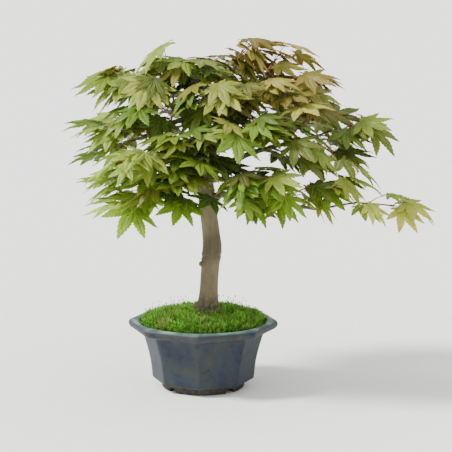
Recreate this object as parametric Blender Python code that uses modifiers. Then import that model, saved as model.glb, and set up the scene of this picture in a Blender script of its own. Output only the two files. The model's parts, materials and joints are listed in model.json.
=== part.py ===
"""A Japanese maple bonsai in an eight-sided glazed pot, standing on its four feet.

The pot holds soil under a mound of moss. The trunk is planted in the soil, the limbs leave the
trunk, and this year's leafy shoots leave the limbs. Each is its own solid. Lengths are metres,
but the tree is laid out in millimetres from the middle of the pot's underside.
"""

import math
import random

import bmesh
import bpy
from mathutils import Matrix, Vector
from mathutils.bvhtree import BVHTree

MM = 0.001
GAP = 0.3 * MM  # clearance between pieces that touch
UP = Vector((0, 0, 1))

# The pot: radii of the octagon run to its corners
POT_SIDES = 8
POT_TURN = math.radians(-93)  # one corner looks almost straight ahead
POT_HEIGHT = 78 * MM
LIP_RADIUS = 85 * MM
LIP_DEPTH = 10.5 * MM
MOUTH_RADIUS = 71.6 * MM
SHOULDER_RADIUS = 69.5 * MM
BASE_RADIUS = 58 * MM
BASE_HEIGHT = 8.7 * MM
FOOT_RADIUS = 47.5 * MM
FOOT_INNER_RADIUS = 37 * MM
FLOOR_HEIGHT = 14 * MM
FLOOR_RADIUS = 43 * MM
FOOT_COUNT = 4
ARCH_HALF_WIDTH = 7 * MM
ARCH_HEIGHT = 5.5 * MM
DRAIN_RADIUS = 7 * MM
DRAIN_SPACING = 44 * MM
SCREEN_SIDE = 24 * MM
SCREEN_WIRE = 1.0 * MM
CLIP_WIRE = 1.0 * MM
CLIP_LEG_SPACING = 12 * MM
CLIP_TAIL = 6 * MM

# The planting
SOIL_EDGE_HEIGHT = 70 * MM
SOIL_TOP_HEIGHT = 79 * MM
MOSS_EDGE_HEIGHT = 75.5 * MM
MOSS_TOP_HEIGHT = 87 * MM

# The tree, as (x, y, z, radius) in millimetres
TRUNK = [
    (4, 0, 62, 10.5), (4.5, 0, 84, 14.5), (5, 0, 92, 13.4), (6, 0, 102, 11.4), (7, 0, 120, 10.2),
    (8.5, -1, 143, 10.4), (10.3, -1, 160, 10.8), (9.2, 0, 176, 10), (7, 0, 196, 9.8), (4, 1, 222, 9.4),
    (2, 2, 246, 8.2), (0, 3, 270, 6.8), (-4, 4, 294, 5.4), (-1, 2, 318, 4.2), (5, 0, 338, 3.0),
]
ROOTS = [
    [(1, -3, 100, 5), (-9, -4, 88, 4.6), (-17, -7, 68, 3)],
    [(4, -4, 98, 4), (0, -13, 86, 3.4), (-4, -19, 68, 2.6)],
    [(8, -3, 99, 5), (17, -8, 86, 4.2), (24, -13, 68, 3)],
    [(8, 3, 99, 5), (17, 8, 86, 4.2), (23, 13, 68, 3)],
    [(2, 4, 98, 5), (-4, 14, 86, 4.2), (-9, 20, 68, 3)],
]
TRUNK_CLEARANCE = 0.4
LIMBS = {
    "limb_left_low": [(3, 1, 234, 3.8), (-16, -4, 241, 3.2), (-30, -8, 243, 2.6), (-46, -12, 242, 2.2),
                      (-58, -16, 236, 1.9)],
    "limb_left_mid": [(1, 2, 256, 3.8), (-18, -2, 274, 3.2), (-42, -6, 286, 2.5), (-66, -10, 289, 2.0)],
    "limb_left_high": [(-3, 4, 288, 3.6), (-20, 2, 308, 3.0), (-42, -2, 326, 2.4), (-60, -6, 338, 1.9)],
    "limb_right_low": [(5, 1, 214, 3.8), (24, -8, 223, 3.2), (44, -14, 221, 2.8), (62, -20, 218, 2.4),
                       (76, -24, 209, 2.2), (98, -22, 212, 2.0), (128, -18, 207, 1.7)],
    "limb_right_mid": [(3, 2, 240, 4.0), (26, 0, 256, 3.4), (60, -2, 270, 2.8), (98, -2, 280, 2.3),
                       (128, -4, 288, 1.9)],
    "limb_right_high": [(-1, 4, 280, 3.8), (20, 0, 304, 3.2), (48, -4, 322, 2.6), (74, -6, 334, 2.0)],
    "limb_front_low": [(3, 1, 228, 3.6), (6, -22, 238, 3.0), (20, -46, 246, 2.4), (34, -64, 248, 1.9)],
    "limb_front_left": [(0, 3, 264, 3.6), (-14, -22, 272, 3.0), (-30, -46, 276, 2.4), (-46, -62, 274, 1.9)],
    "limb_front_right": [(-2, 3, 276, 3.4), (14, -20, 292, 3.0), (34, -40, 300, 2.4), (56, -52, 300, 1.9)],
    "limb_back_left": [(2, 2, 248, 3.8), (-18, 22, 260, 3.2), (-42, 44, 270, 2.6), (-62, 58, 274, 2.0)],
    "limb_back_right": [(0, 3, 268, 3.8), (24, 24, 280, 3.2), (52, 44, 288, 2.6), (78, 58, 290, 2.0)],
    "limb_back": [(3, 2, 222, 3.6), (6, 24, 236, 3.0), (10, 52, 250, 2.4), (14, 78, 262, 1.9)],
    "limb_top": [(-2, 3, 306, 3.2), (10, 16, 322, 2.8), (20, 22, 338, 2.2), (32, 16, 352, 1.8)],
}
BARE_TWIGS = {
    "twig_inner": ("limb_right_low", 0.30, (62, -22, 202)),
    "twig_outer": ("limb_right_low", 0.56, (92, -32, 196)),
}
# Each leafy shoot: the limb it leaves, the share of the limb's length, its tip, its pairs of leaves
SHOOTS = {
    "shoot_left_crown": ("limb_left_high", 1.0, (-90, -12, 354), 2),
    "shoot_left_crown_front": ("limb_left_high", 0.75, (-62, -40, 348), 2),
    "shoot_left_crown_back": ("limb_left_high", 0.6, (-58, 34, 346), 2),
    "shoot_left_peak": ("limb_left_high", 0.4, (-40, -6, 374), 2),
    "shoot_left_shoulder": ("limb_left_mid", 1.0, (-94, -14, 298), 2),
    "shoot_left_shoulder_low": ("limb_left_mid", 0.8, (-92, 14, 272), 2),
    "shoot_left_shoulder_front": ("limb_left_mid", 0.6, (-62, -48, 312), 2),
    "shoot_left_hanging": ("limb_left_low", 1.0, (-88, -24, 240), 2),
    "shoot_left_under": ("limb_left_low", 0.85, (-72, -36, 216), 2),
    "shoot_left_near": ("limb_left_low", 0.45, (-32, -44, 226), 1),
    "shoot_front_left": ("limb_front_left", 1.0, (-72, -84, 272), 2),
    "shoot_front_left_low": ("limb_front_left", 0.75, (-34, -74, 254), 2),
    "shoot_front_middle": ("limb_front_left", 0.6, (-14, -78, 294), 2),
    "shoot_front_crown": ("limb_front_right", 0.45, (4, -56, 336), 2),
    "shoot_front_right": ("limb_front_right", 1.0, (84, -66, 296), 2),
    "shoot_front_right_tip": ("limb_front_right", 0.75, (44, -82, 304), 2),
    "shoot_front_low": ("limb_front_low", 1.0, (52, -88, 250), 2),
    "shoot_front_low_left": ("limb_front_low", 0.65, (-6, -74, 270), 2),
    "shoot_right_near": ("limb_right_low", 0.2, (30, -38, 222), 1),
    "shoot_right_under": ("limb_right_low", 0.62, (96, -50, 226), 2),
    "shoot_right_tip": ("limb_right_low", 1.0, (214, -14, 210), 1),
    "shoot_right_rise": ("limb_right_low", 0.85, (148, -34, 236), 2),
    "shoot_right_arm": ("limb_right_mid", 1.0, (166, -6, 296), 1),
    "shoot_right_arm_low": ("limb_right_mid", 0.85, (150, 14, 262), 2),
    "shoot_right_arm_back": ("limb_right_mid", 0.7, (126, 36, 306), 2),
    "shoot_right_arm_front": ("limb_right_mid", 0.55, (100, -36, 264), 2),
    "shoot_right_crown": ("limb_right_high", 1.0, (98, -8, 346), 2),
    "shoot_right_crown_low": ("limb_right_high", 0.8, (106, -34, 326), 2),
    "shoot_right_crown_front": ("limb_right_high", 0.6, (52, -42, 342), 2),
    "shoot_right_peak": ("limb_right_high", 0.75, (82, 12, 372), 2),
    "shoot_top": ("limb_top", 1.0, (42, -2, 378), 2),
    "shoot_top_front": ("limb_top", 0.4, (-4, -26, 366), 2),
    "shoot_top_back": ("limb_top", 0.6, (10, 56, 354), 2),
    "shoot_back_left": ("limb_back_left", 1.0, (-84, 74, 282), 2),
    "shoot_back_left_high": ("limb_back_left", 0.7, (-34, 78, 306), 2),
    "shoot_back_left_low": ("limb_back_left", 0.5, (-58, 44, 240), 2),
    "shoot_back_right": ("limb_back_right", 1.0, (104, 68, 296), 2),
    "shoot_back_right_high": ("limb_back_right", 0.6, (56, 66, 326), 2),
    "shoot_back": ("limb_back", 1.0, (22, 106, 272), 2),
}

# The leaves
SHOOT_RADIUS = 1.2
STALK_RADIUS = 0.6
LEAF_LENGTHS = (38, 50)
STALK_LENGTHS = (18, 30)
DROOPS = (4, 46)  # degrees that the middle lobe points below the horizon
PAIR_PLACES = (0.97, 0.55)  # shares of the shoot's length
LOBES = [(-78, 0.72), (-39, 0.92), (0, 1.0), (39, 0.92), (78, 0.72)]  # degrees, share of the middle one
NOTCH_SHARE = 0.38
HEEL_SHARE = 0.08
TIP_DROOP = 0.16
BLADE_THICKNESS = 1.0
LEAF_TRIES = 40
ROOM = 0.35  # how much a leaf's solid is grown on each side to look for others in its way


def smooth(points, steps):
    """Points (x, y, z, radius) on a smooth curve through the given ones."""
    ends = [points[0], *points, points[-1]]
    found = []
    for four in zip(ends, ends[1:], ends[2:], ends[3:]):
        for i in range(steps):
            t = i / steps
            found.append(tuple(
                b + 0.5 * t * ((c - a) + t * ((2 * a - 5 * b + 4 * c - d) + t * (3 * b - a - 3 * c + d)))
                for a, b, c, d in zip(*four)
            ))
    return found + [points[-1]]


def along(path, share):
    """(place, direction, radius) at a share of a path's length."""
    places = [Vector(p[:3]) for p in path]
    spans = [(b - a).length for a, b in zip(places, places[1:])]
    left = share * sum(spans)
    for i, span in enumerate(spans):
        if left <= span or i == len(spans) - 1:
            t = min(left / span, 1.0)
            direction = (places[i + 1] - places[i]).normalized()
            return places[i].lerp(places[i + 1], t), direction, path[i][3] * (1 - t) + path[i + 1][3] * t
        left -= span


def clear_of_parent(direction, parent_direction, parent_radius, radius):
    """How far from its parent's axis a stem's flat end just clears the parent's bark."""
    cosine = min(abs(direction.dot(parent_direction)), 0.9)
    sine = math.sqrt(1 - cosine * cosine)
    return (parent_radius + radius * cosine) / sine + GAP / MM


def limb_path(points):
    """A limb's points, from the bark of the trunk to its end."""
    start, trunk_way, trunk_radius = min(
        (along(TRUNK, i / 400) for i in range(401)), key=lambda spot: abs(spot[0].z - points[0][2])
    )
    way = (Vector(points[1][:3]) - start).normalized()
    start = start + way * clear_of_parent(way, trunk_way, trunk_radius, points[0][3])
    return smooth([(*start, points[0][3]), *points[1:]], 2)


def shoot_path(limb, share, tip):
    """A shoot's points, from the bark of its limb to its tip, a little arched."""
    start, limb_way, limb_radius = along(limb_paths[limb], share)
    reach = Vector(tip) - start
    way = (reach.normalized() + 0.25 * UP).normalized()
    if share < 1:
        start = start + way * clear_of_parent(way, limb_way, limb_radius, SHOOT_RADIUS)
    else:
        start = start + limb_way * (GAP / MM + SHOOT_RADIUS)
    middle = (start + Vector(tip)) / 2 + UP * reach.length * 0.07
    radii = (SHOOT_RADIUS, SHOOT_RADIUS * 0.85, SHOOT_RADIUS * 0.7)
    return smooth([(*spot, radius) for spot, radius in zip((start, middle, Vector(tip)), radii)], 2)


def add_stem(bm, path, extra=0.0):
    """Adds a plain round stem to bm, one length of cone for each two points."""
    for a, b in zip(path, path[1:]):
        start, end = Vector(a[:3]), Vector(b[:3])
        turn = (end - start).to_track_quat("Z", "Y").to_matrix().to_4x4()
        bmesh.ops.create_cone(
            bm, cap_ends=True, segments=6, radius1=a[3] + extra, radius2=b[3] + extra,
            depth=(end - start).length, matrix=Matrix.Translation((start + end) / 2) @ turn,
        )


def add_blade(bm, frame, length, thickness):
    """Adds one palmate blade to bm: a flat cone whose rim runs over the lobes' tips and notches."""
    outline = []
    for (angle, reach), (next_angle, next_reach) in zip(LOBES, LOBES[1:]):
        outline.append((angle, reach))
        outline.append(((angle + next_angle) / 2, NOTCH_SHARE * min(reach, next_reach)))
    outline += [LOBES[-1], (180, HEEL_SHARE)]
    made = bmesh.ops.create_cone(
        bm, cap_ends=True, cap_tris=True, segments=len(outline), radius1=1, radius2=0, depth=1
    )["verts"]
    middles = [v for v in made if v.co.xy.length < 0.5]
    rim = sorted((v for v in made if v not in middles), key=lambda v: math.atan2(v.co.x, v.co.y))
    for vert, (angle, reach) in zip(rim, outline):
        turn = math.radians(angle)
        vert.co = Vector((math.sin(turn), math.cos(turn), -TIP_DROOP * reach)) * reach * length
    for vert in middles:
        vert.co = (0, 0, math.copysign(thickness / 2, vert.co.z))
    bmesh.ops.transform(bm, matrix=frame, verts=made)


def guard(fill):
    """A search tree of the faces that fill(bm) makes, to test for others in the way."""
    bm = bmesh.new()
    fill(bm)
    tree = BVHTree.FromBMesh(bm)
    bm.free()
    return tree


def hold_leaf(spot, ahead, side, chance):
    """One way to hold a leaf: its stalk's two ends, its blade's frame and its length.

    The blade looks up at the sky, points away from the trunk and droops.
    """
    outward = Vector((spot.x - TRUNK[-1][0], spot.y, 0)).normalized()
    ahead = (ahead + 0.8 * outward).normalized()
    sideways = ahead.cross(UP).normalized()
    stalk = ahead + side * chance.uniform(0.4, 1.8) * sideways + UP * chance.uniform(-0.1, 0.7)
    end = spot + stalk.normalized() * chance.uniform(*STALK_LENGTHS)
    heading = Vector((stalk.x, stalk.y, 0)).normalized() + 0.6 * outward
    droop = math.radians(chance.uniform(*DROOPS))
    axis = heading.normalized() * math.cos(droop) - UP * math.sin(droop)
    face = (UP - axis * UP.dot(axis)).normalized()
    face = Matrix.Rotation(math.radians(chance.uniform(-30, 30)), 3, axis) @ face
    frame = Matrix((axis.cross(face), axis, face)).transposed().to_4x4()
    frame.translation = end
    return spot, end, frame, chance.uniform(*LEAF_LENGTHS)


def grow_leaves(name):
    """The leaves of a shoot, in opposite pairs, each held where no other leaf or stem is in its way."""
    grown = []
    pairs = SHOOTS[name][3]
    for pair, share in enumerate(PAIR_PLACES[:pairs]):
        spot, ahead, _ = along(shoot_paths[name], share)
        for side in (-1, 1):
            chance = random.Random(f"{name} {pair} {side}")
            for _ in range(LEAF_TRIES):
                start, end, frame, length = hold_leaf(spot, ahead, side, chance)

                def fill(bm):
                    add_blade(bm, frame, length, BLADE_THICKNESS + 2 * ROOM)
                    add_stem(bm, [(*start.lerp(end, 0.3), STALK_RADIUS), (*end, STALK_RADIUS)], ROOM)

                tree = guard(fill)
                if not any(tree.overlap(other) for other in guards):
                    guards.append(tree)
                    grown.append((start, end, frame, length))
                    break
    return grown


def material(name, colour, roughness):
    """A Principled material, made once for each name."""
    made = bpy.data.materials.get(name) or bpy.data.materials.new(name)
    made.use_nodes = True
    shader = made.node_tree.nodes["Principled BSDF"]
    shader.inputs["Base Color"].default_value = (*colour, 1)
    shader.inputs["Roughness"].default_value = roughness
    shader.inputs["Metallic"].default_value = 0
    return made


def place(obj, colour_material):
    """Puts a new object in the bonsai's collection, with its material."""
    bonsai.objects.link(obj)
    obj.data.materials.append(colour_material)
    return obj


def cutter(obj):
    """A helper that cuts or joins and is no part of the bonsai."""
    obj.hide_render = True
    obj.display_type = "WIRE"
    helpers.objects.link(obj)
    return obj


def shaded(obj, angle=35):
    obj.data.shade_smooth()
    obj.data.set_sharp_from_angle(angle=math.radians(angle))
    return obj


def new_object(name, fill):
    """A mesh object whose shape fill(bm) makes."""
    mesh = bpy.data.meshes.new(name)
    bm = bmesh.new()
    fill(bm)
    bm.to_mesh(mesh)
    bm.free()
    return bpy.data.objects.new(name, mesh)


def evaluated_mesh(obj):
    """The object's mesh with its modifiers applied, welded where caps meet sides."""
    bpy.context.view_layer.update()
    graph = bpy.context.evaluated_depsgraph_get()
    mesh = bpy.data.meshes.new_from_object(obj.evaluated_get(graph), depsgraph=graph)
    bm = bmesh.new()
    bm.from_mesh(mesh)
    bmesh.ops.remove_doubles(bm, verts=bm.verts, dist=1e-6)
    bm.to_mesh(mesh)
    bm.free()
    return mesh


def tube(name, path, resolution):
    """A tapered round stem along a path in millimetres, as a mesh."""
    curve = bpy.data.curves.new(name, "CURVE")
    curve.dimensions = "3D"
    curve.bevel_depth = 1.0
    curve.bevel_resolution = resolution
    curve.use_fill_caps = True
    spline = curve.splines.new("POLY")
    spline.points.add(len(path) - 1)
    for spot, (x, y, z, radius) in zip(spline.points, path):
        spot.co = (x * MM, y * MM, z * MM, 1)
        spot.radius = radius * MM
    line = cutter(bpy.data.objects.new(name + "_line", curve))
    mesh = evaluated_mesh(line)
    bpy.data.objects.remove(line)
    return bpy.data.objects.new(name, mesh)


def turned(name, profile, steps):
    """A profile of (radius, height) from the top down its outer side, turned about Z."""
    mesh = bpy.data.meshes.new(name)
    mesh.from_pydata([(r, 0, z) for r, z in profile], [(i, i + 1) for i in range(len(profile) - 1)], [])
    obj = bpy.data.objects.new(name, mesh)
    spin = obj.modifiers.new("turn", "SCREW")
    spin.steps = steps
    spin.render_steps = steps
    spin.use_merge_vertices = True
    spin.merge_threshold = 0.05 * MM
    return obj


def boolean(obj, other, operation):
    modifier = obj.modifiers.new(operation.lower(), "BOOLEAN")
    modifier.operation = operation
    modifier.solver = "EXACT"
    modifier.object = other
    return obj


def cylinder(name, radius, low, high, x=0.0, segments=32):
    def fill(bm):
        bmesh.ops.create_cone(bm, cap_ends=True, segments=segments, radius1=radius, radius2=radius,
                              depth=high - low, matrix=Matrix.Translation((x, 0, (low + high) / 2)))
    return new_object(name, fill)


def wall_profile(inset, floor):
    """The pot's round inside from under the mouth down to a floor, drawn inset from its wall."""
    return [
        (MOUTH_RADIUS - 5 * MM - inset, POT_HEIGHT - 5 * MM),
        (MOUTH_RADIUS - 12 * MM - inset, POT_HEIGHT - 16 * MM), (51 * MM - inset, 34 * MM),
        (FLOOR_RADIUS + 4 * MM - inset, floor + 4 * MM), (FLOOR_RADIUS - inset, floor), (0, floor),
    ]


def make_pot():
    """Stoneware: an octagon with flared walls, a heavy lip, a foot ring cut into feet and two drains."""
    lip_low = POT_HEIGHT - LIP_DEPTH
    outer = [
        (0, POT_HEIGHT), (LIP_RADIUS - 4 * MM, POT_HEIGHT), (LIP_RADIUS - 1 * MM, POT_HEIGHT - 2 * MM),
        (LIP_RADIUS, POT_HEIGHT - 5 * MM), (LIP_RADIUS - 1 * MM, lip_low + 1 * MM),
        (LIP_RADIUS - 4 * MM, lip_low), (SHOULDER_RADIUS + 0.8 * MM, lip_low - 1 * MM),
        (SHOULDER_RADIUS - 0.6 * MM, lip_low - 4.5 * MM), (65.6 * MM, 53 * MM), (62 * MM, 40 * MM),
        (59.4 * MM, 26 * MM), (BASE_RADIUS, BASE_HEIGHT + 2 * MM), (BASE_RADIUS - 2 * MM, BASE_HEIGHT),
        (FOOT_RADIUS, BASE_HEIGHT), (FOOT_RADIUS - 1 * MM, 0), (0, 0),
    ]
    pot = turned("pot", outer, POT_SIDES)
    pot.rotation_euler.z = POT_TURN
    cavity = [(0, 90 * MM), (MOUTH_RADIUS, 90 * MM), (MOUTH_RADIUS, POT_HEIGHT - 1 * MM),
              *wall_profile(0, FLOOR_HEIGHT)]
    boolean(pot, cutter(turned("cut_cavity", cavity, 32)), "DIFFERENCE")
    boolean(pot, cutter(cylinder("cut_recess", FOOT_INNER_RADIUS, -5 * MM, BASE_HEIGHT)), "DIFFERENCE")
    for i in range(FOOT_COUNT):
        arch = cylinder(f"cut_arch_{i}", 1, 0, LIP_RADIUS, segments=12)
        turn = Matrix.Rotation(POT_TURN + math.pi / 4 + i * math.tau / FOOT_COUNT, 4, "Z")
        lie = Matrix.Rotation(math.pi / 2, 4, "Y")
        arch.data.transform(turn @ lie @ Matrix.Diagonal((ARCH_HEIGHT, ARCH_HALF_WIDTH, 1, 1)))
        boolean(pot, cutter(arch), "DIFFERENCE")
    for side in (-1, 1):
        drain = cylinder(f"cut_drain_{side}", DRAIN_RADIUS, 0, 20 * MM, side * DRAIN_SPACING / 2, 16)
        boolean(pot, cutter(drain), "DIFFERENCE")
    return shaded(place(pot, material("glaze", (0.11, 0.15, 0.19), 0.35)))


def make_screen(name, x):
    """A plastic mesh square that lies over a drain and keeps the soil in."""
    def fill(bm):
        bmesh.ops.create_grid(bm, x_segments=3, y_segments=3, size=SCREEN_SIDE / 2)
        bmesh.ops.translate(bm, vec=(x, 0, FLOOR_HEIGHT + GAP + SCREEN_WIRE / 2), verts=bm.verts)
    screen = place(new_object(name, fill), material("screen_plastic", (0.03, 0.04, 0.03), 0.6))
    wires = screen.modifiers.new("wires", "WIREFRAME")
    wires.thickness = SCREEN_WIRE
    wires.use_boundary = True
    wires.use_even_offset = False
    return screen


def make_clip(name, x):
    """A wire staple: over the screen, down through the drain, its tails folded out under the pot."""
    bar = FLOOR_HEIGHT + SCREEN_WIRE + CLIP_WIRE / 2 + 2 * GAP
    tail = BASE_HEIGHT - GAP - CLIP_WIRE / 2
    leg = CLIP_LEG_SPACING / 2
    half = [(leg + CLIP_TAIL, tail), (leg, tail), (leg, bar)]
    route = [*half, *((-out, z) for out, z in reversed(half))]
    path = [((x + out) / MM, 0, z / MM, CLIP_WIRE / 2 / MM) for out, z in route]
    return place(tube(name, path, 0), material("clip_wire", (0.35, 0.30, 0.27), 0.45))


def make_soil():
    """Gritty potting soil that fills the pot, heaped towards the trunk."""
    floor = FLOOR_HEIGHT + SCREEN_WIRE + CLIP_WIRE + 4 * GAP
    wall = [p for p in wall_profile(GAP, floor) if p[1] < SOIL_EDGE_HEIGHT]
    top = [(0, SOIL_TOP_HEIGHT), (30 * MM, SOIL_TOP_HEIGHT - 1.5 * MM), (50 * MM, SOIL_TOP_HEIGHT - 5 * MM)]
    edge = (MOUTH_RADIUS - 8 * MM, SOIL_EDGE_HEIGHT)
    soil = turned("soil", [*top, edge, *wall], 24)
    boolean(soil, trunk_room, "DIFFERENCE")
    return shaded(place(soil, material("soil", (0.06, 0.045, 0.03), 0.95)))


def make_moss():
    """A mound of moss over the whole soil, with a hole where the trunk comes up."""
    rim = MOUTH_RADIUS - 3.6 * MM
    profile = [
        (0, MOSS_TOP_HEIGHT), (26 * MM, MOSS_TOP_HEIGHT - 1.2 * MM), (48 * MM, MOSS_TOP_HEIGHT - 4.5 * MM),
        (62 * MM, MOSS_TOP_HEIGHT - 8.5 * MM), (rim, MOSS_EDGE_HEIGHT),
        (MOUTH_RADIUS - 8 * MM, SOIL_EDGE_HEIGHT + GAP + 0.2 * MM),
        (50 * MM, SOIL_TOP_HEIGHT - 5 * MM + GAP), (30 * MM, SOIL_TOP_HEIGHT - 1.5 * MM + GAP),
        (0, SOIL_TOP_HEIGHT + GAP),
    ]
    moss = turned("moss", profile, 24)
    boolean(moss, trunk_room, "DIFFERENCE")
    return shaded(place(moss, material("moss", (0.10, 0.24, 0.03), 0.9)))


def grown(path, extra):
    """A stem's points with its radius and both its ends grown by the same amount."""
    points = [Vector(point[:3]) for point in path]
    points[0] += (points[0] - points[1]).normalized() * extra
    points[-1] += (points[-1] - points[-2]).normalized() * extra
    return [(*point, old[3] + extra) for point, old in zip(points, path)]


def rooted_stem(name, extra):
    """The trunk with its surface roots, grown all over by the extra."""
    stem = tube(name, grown(TRUNK, extra), 3)
    for i, root in enumerate(ROOTS):
        boolean(stem, cutter(tube(f"join_{name}_root_{i}", grown(root, extra), 1)), "UNION")
    return stem


def make_trunk():
    """The trunk from its root crown in the soil to the top."""
    return shaded(place(rooted_stem("trunk", 0), material("bark", (0.27, 0.23, 0.16), 0.8)), 50)


def make_trunk_room():
    """The room that the moss and the soil leave for the trunk."""
    return cutter(rooted_stem("cut_trunk", TRUNK_CLEARANCE))


def make_limb(name):
    """A limb, with any bare twig that grows from it."""
    limb = tube(name, limb_paths[name], 1)
    for twig, (parent, share, tip) in BARE_TWIGS.items():
        if parent == name:
            start, _, radius = along(limb_paths[name], share)
            middle = start.lerp(Vector(tip), 0.5) - UP
            path = [(*start, radius * 0.7), (*middle, radius * 0.5), (*tip, radius * 0.35)]
            boolean(limb, cutter(tube(f"join_{twig}", path, 0)), "UNION")
    return shaded(place(limb, material("bark", (0.27, 0.23, 0.16), 0.8)), 60)


def make_shoot(name):
    """A shoot with its opposite leaves, stalks and all, joined into one solid."""
    shoot = tube(name, shoot_paths[name], 0)
    for i, (start, end, frame, length) in enumerate(grow_leaves(name)):
        blade = new_object(f"join_{name}_{i}", lambda bm: add_blade(bm, frame, length, BLADE_THICKNESS))
        blade.data.transform(Matrix.Scale(MM, 4))
        inside = frame @ Vector((0, -HEEL_SHARE / 2 * length, 0))
        stalk = tube(f"join_{name}_stalk_{i}", [(*start, STALK_RADIUS), (*inside, STALK_RADIUS)], 0)
        boolean(shoot, cutter(stalk), "UNION")
        boolean(shoot, cutter(blade), "UNION")
    return place(shoot, material("leaf", (0.15, 0.27, 0.05), 0.5))


for old in list(bpy.data.objects):
    bpy.data.objects.remove(old)
bonsai = bpy.data.collections.new("maple_bonsai")
helpers = bpy.data.collections.new("helpers")
bpy.context.scene.collection.children.link(bonsai)
bpy.context.scene.collection.children.link(helpers)

limb_paths = {name: limb_path(points) for name, points in LIMBS.items()}
shoot_paths = {name: shoot_path(*row[:3]) for name, row in SHOOTS.items()}
guards = [
    guard(lambda bm: add_stem(bm, path, ROOM)) for path in (TRUNK, *limb_paths.values(), *shoot_paths.values())
]

make_pot()
make_screen("drain_screen_left", -DRAIN_SPACING / 2)
make_screen("drain_screen_right", DRAIN_SPACING / 2)
make_clip("screen_clip_left", -DRAIN_SPACING / 2)
make_clip("screen_clip_right", DRAIN_SPACING / 2)
make_trunk()
trunk_room = make_trunk_room()
make_soil()
make_moss()
for limb_name in LIMBS:
    make_limb(limb_name)
for shoot_name in SHOOTS:
    make_shoot(shoot_name)

everything = [*bonsai.objects, *helpers.objects]
bpy.context.view_layer.update()
graph = bpy.context.evaluated_depsgraph_get()
corners = [
    obj.matrix_world @ vert.co for obj in bonsai.objects for vert in obj.evaluated_get(graph).data.vertices
]
stand = bpy.data.objects.new("stand", None)
helpers.objects.link(stand)
for obj in everything:
    obj.parent = stand
stand.location.x = -(min(corner.x for corner in corners) + max(corner.x for corner in corners)) / 2
stand.location.y = -(min(corner.y for corner in corners) + max(corner.y for corner in corners)) / 2
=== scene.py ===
"""A Japanese maple bonsai in an eight-sided glazed pot.

The pot is made first, then what goes into it from the bottom up: drain screens, soil and moss. The
trunk follows with its limbs, and the leafy shoots last. Then come the floor, the light and the camera.
"""

import json
import math
import random

import bmesh
import bpy
import numpy as np
from mathutils import Matrix, Vector, noise
from mathutils.bvhtree import BVHTree

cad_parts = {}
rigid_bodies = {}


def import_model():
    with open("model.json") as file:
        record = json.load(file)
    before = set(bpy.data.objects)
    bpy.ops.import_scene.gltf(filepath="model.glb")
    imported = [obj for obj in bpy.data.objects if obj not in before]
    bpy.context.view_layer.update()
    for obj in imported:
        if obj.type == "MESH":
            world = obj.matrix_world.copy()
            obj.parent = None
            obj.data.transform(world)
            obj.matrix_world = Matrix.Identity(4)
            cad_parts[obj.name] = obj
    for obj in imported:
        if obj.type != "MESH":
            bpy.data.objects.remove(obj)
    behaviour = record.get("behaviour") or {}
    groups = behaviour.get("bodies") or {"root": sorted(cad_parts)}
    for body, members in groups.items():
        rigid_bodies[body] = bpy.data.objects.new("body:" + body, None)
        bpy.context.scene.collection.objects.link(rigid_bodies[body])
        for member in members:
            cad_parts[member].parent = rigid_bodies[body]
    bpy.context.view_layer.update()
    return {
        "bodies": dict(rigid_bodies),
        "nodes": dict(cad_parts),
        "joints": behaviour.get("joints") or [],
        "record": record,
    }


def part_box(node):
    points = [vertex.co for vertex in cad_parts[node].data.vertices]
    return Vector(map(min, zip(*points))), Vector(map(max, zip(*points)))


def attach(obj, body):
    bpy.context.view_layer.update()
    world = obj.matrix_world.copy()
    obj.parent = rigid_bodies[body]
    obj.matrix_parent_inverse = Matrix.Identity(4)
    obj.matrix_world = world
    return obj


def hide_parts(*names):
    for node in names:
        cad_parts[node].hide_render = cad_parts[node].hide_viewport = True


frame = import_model()

# ---------------------------------------------------------------------------------------------
# The pot is one piece of stoneware, pressed in an eight-sided mould: flared walls, a heavy lip
# round a circular mouth, and a foot ring cut into four feet. It is dipped in a slate-blue glaze
# that pools turquoise on the lip, runs thin and brown on its edges, and stops above the feet.
MM = 0.001
POT_TURN = math.radians(-93)  # one corner looks almost straight ahead
POT_SIDES = 8
SIDE_CUTS = 17
BASE_RADIUS = 56.4 * MM
BASE_HEIGHT = 9.1 * MM
DRAIN_RADIUS = 7 * MM
DRAIN_SPACING = 44 * MM
ARCH_HALF_WIDTH = 6.5 * MM
ARCH_HEIGHT = 5.5 * MM
ARCH_REACH = 90 * MM
POT_WALL = [  # (radius to a corner, height, roundness) in millimetres, from the base up, over and in
    (57.7, 10.4, 0), (58.2, 14, 0), (59, 22, 0), (60.3, 31, 0), (62.2, 40, 0), (64.6, 49, 0),
    (67, 57, 0), (68.6, 61.5, 0), (69.6, 64.2, 0), (71.4, 66.1, 0), (74.5, 67.1, 0), (79, 67.6, 0),
    (82.2, 68.5, 0), (84.2, 70.4, 0), (85, 72.8, 0), (84.6, 75.2, 0), (83.2, 77, 0), (81, 77.9, 0.1),
    (78.6, 78.1, 0.3), (75.4, 77.9, 1), (73.4, 77.5, 1), (72.1, 76.6, 1), (71.5, 75, 1), (70.2, 72, 1),
    (66, 66, 1), (59.6, 60, 1), (54, 44, 1), (50, 30, 1), (46, 18, 1), (43, 14, 1), (12, 14, 1),
]
POT_UNDERSIDE = [  # the same for the base's edge, the foot ring and the recess inside it
    (54, 8.9, 0), (50, 8.6, 0.2), (48, 7.6, 0.4), (47.2, 5, 0.4), (46.8, 1.4, 0.4), (46, 0.2, 0.4),
    (44.6, 0, 0.5), (38.6, 0, 1), (37.4, 0.6, 1), (37, 2.5, 1), (36.8, 7.6, 1), (35.4, 8.7, 1),
    (10, 8.7, 1),
]

pot_low, pot_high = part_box("pot")
pot_middle = Vector(((pot_low.x + pot_high.x) / 2, (pot_low.y + pot_high.y) / 2, 0))


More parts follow.
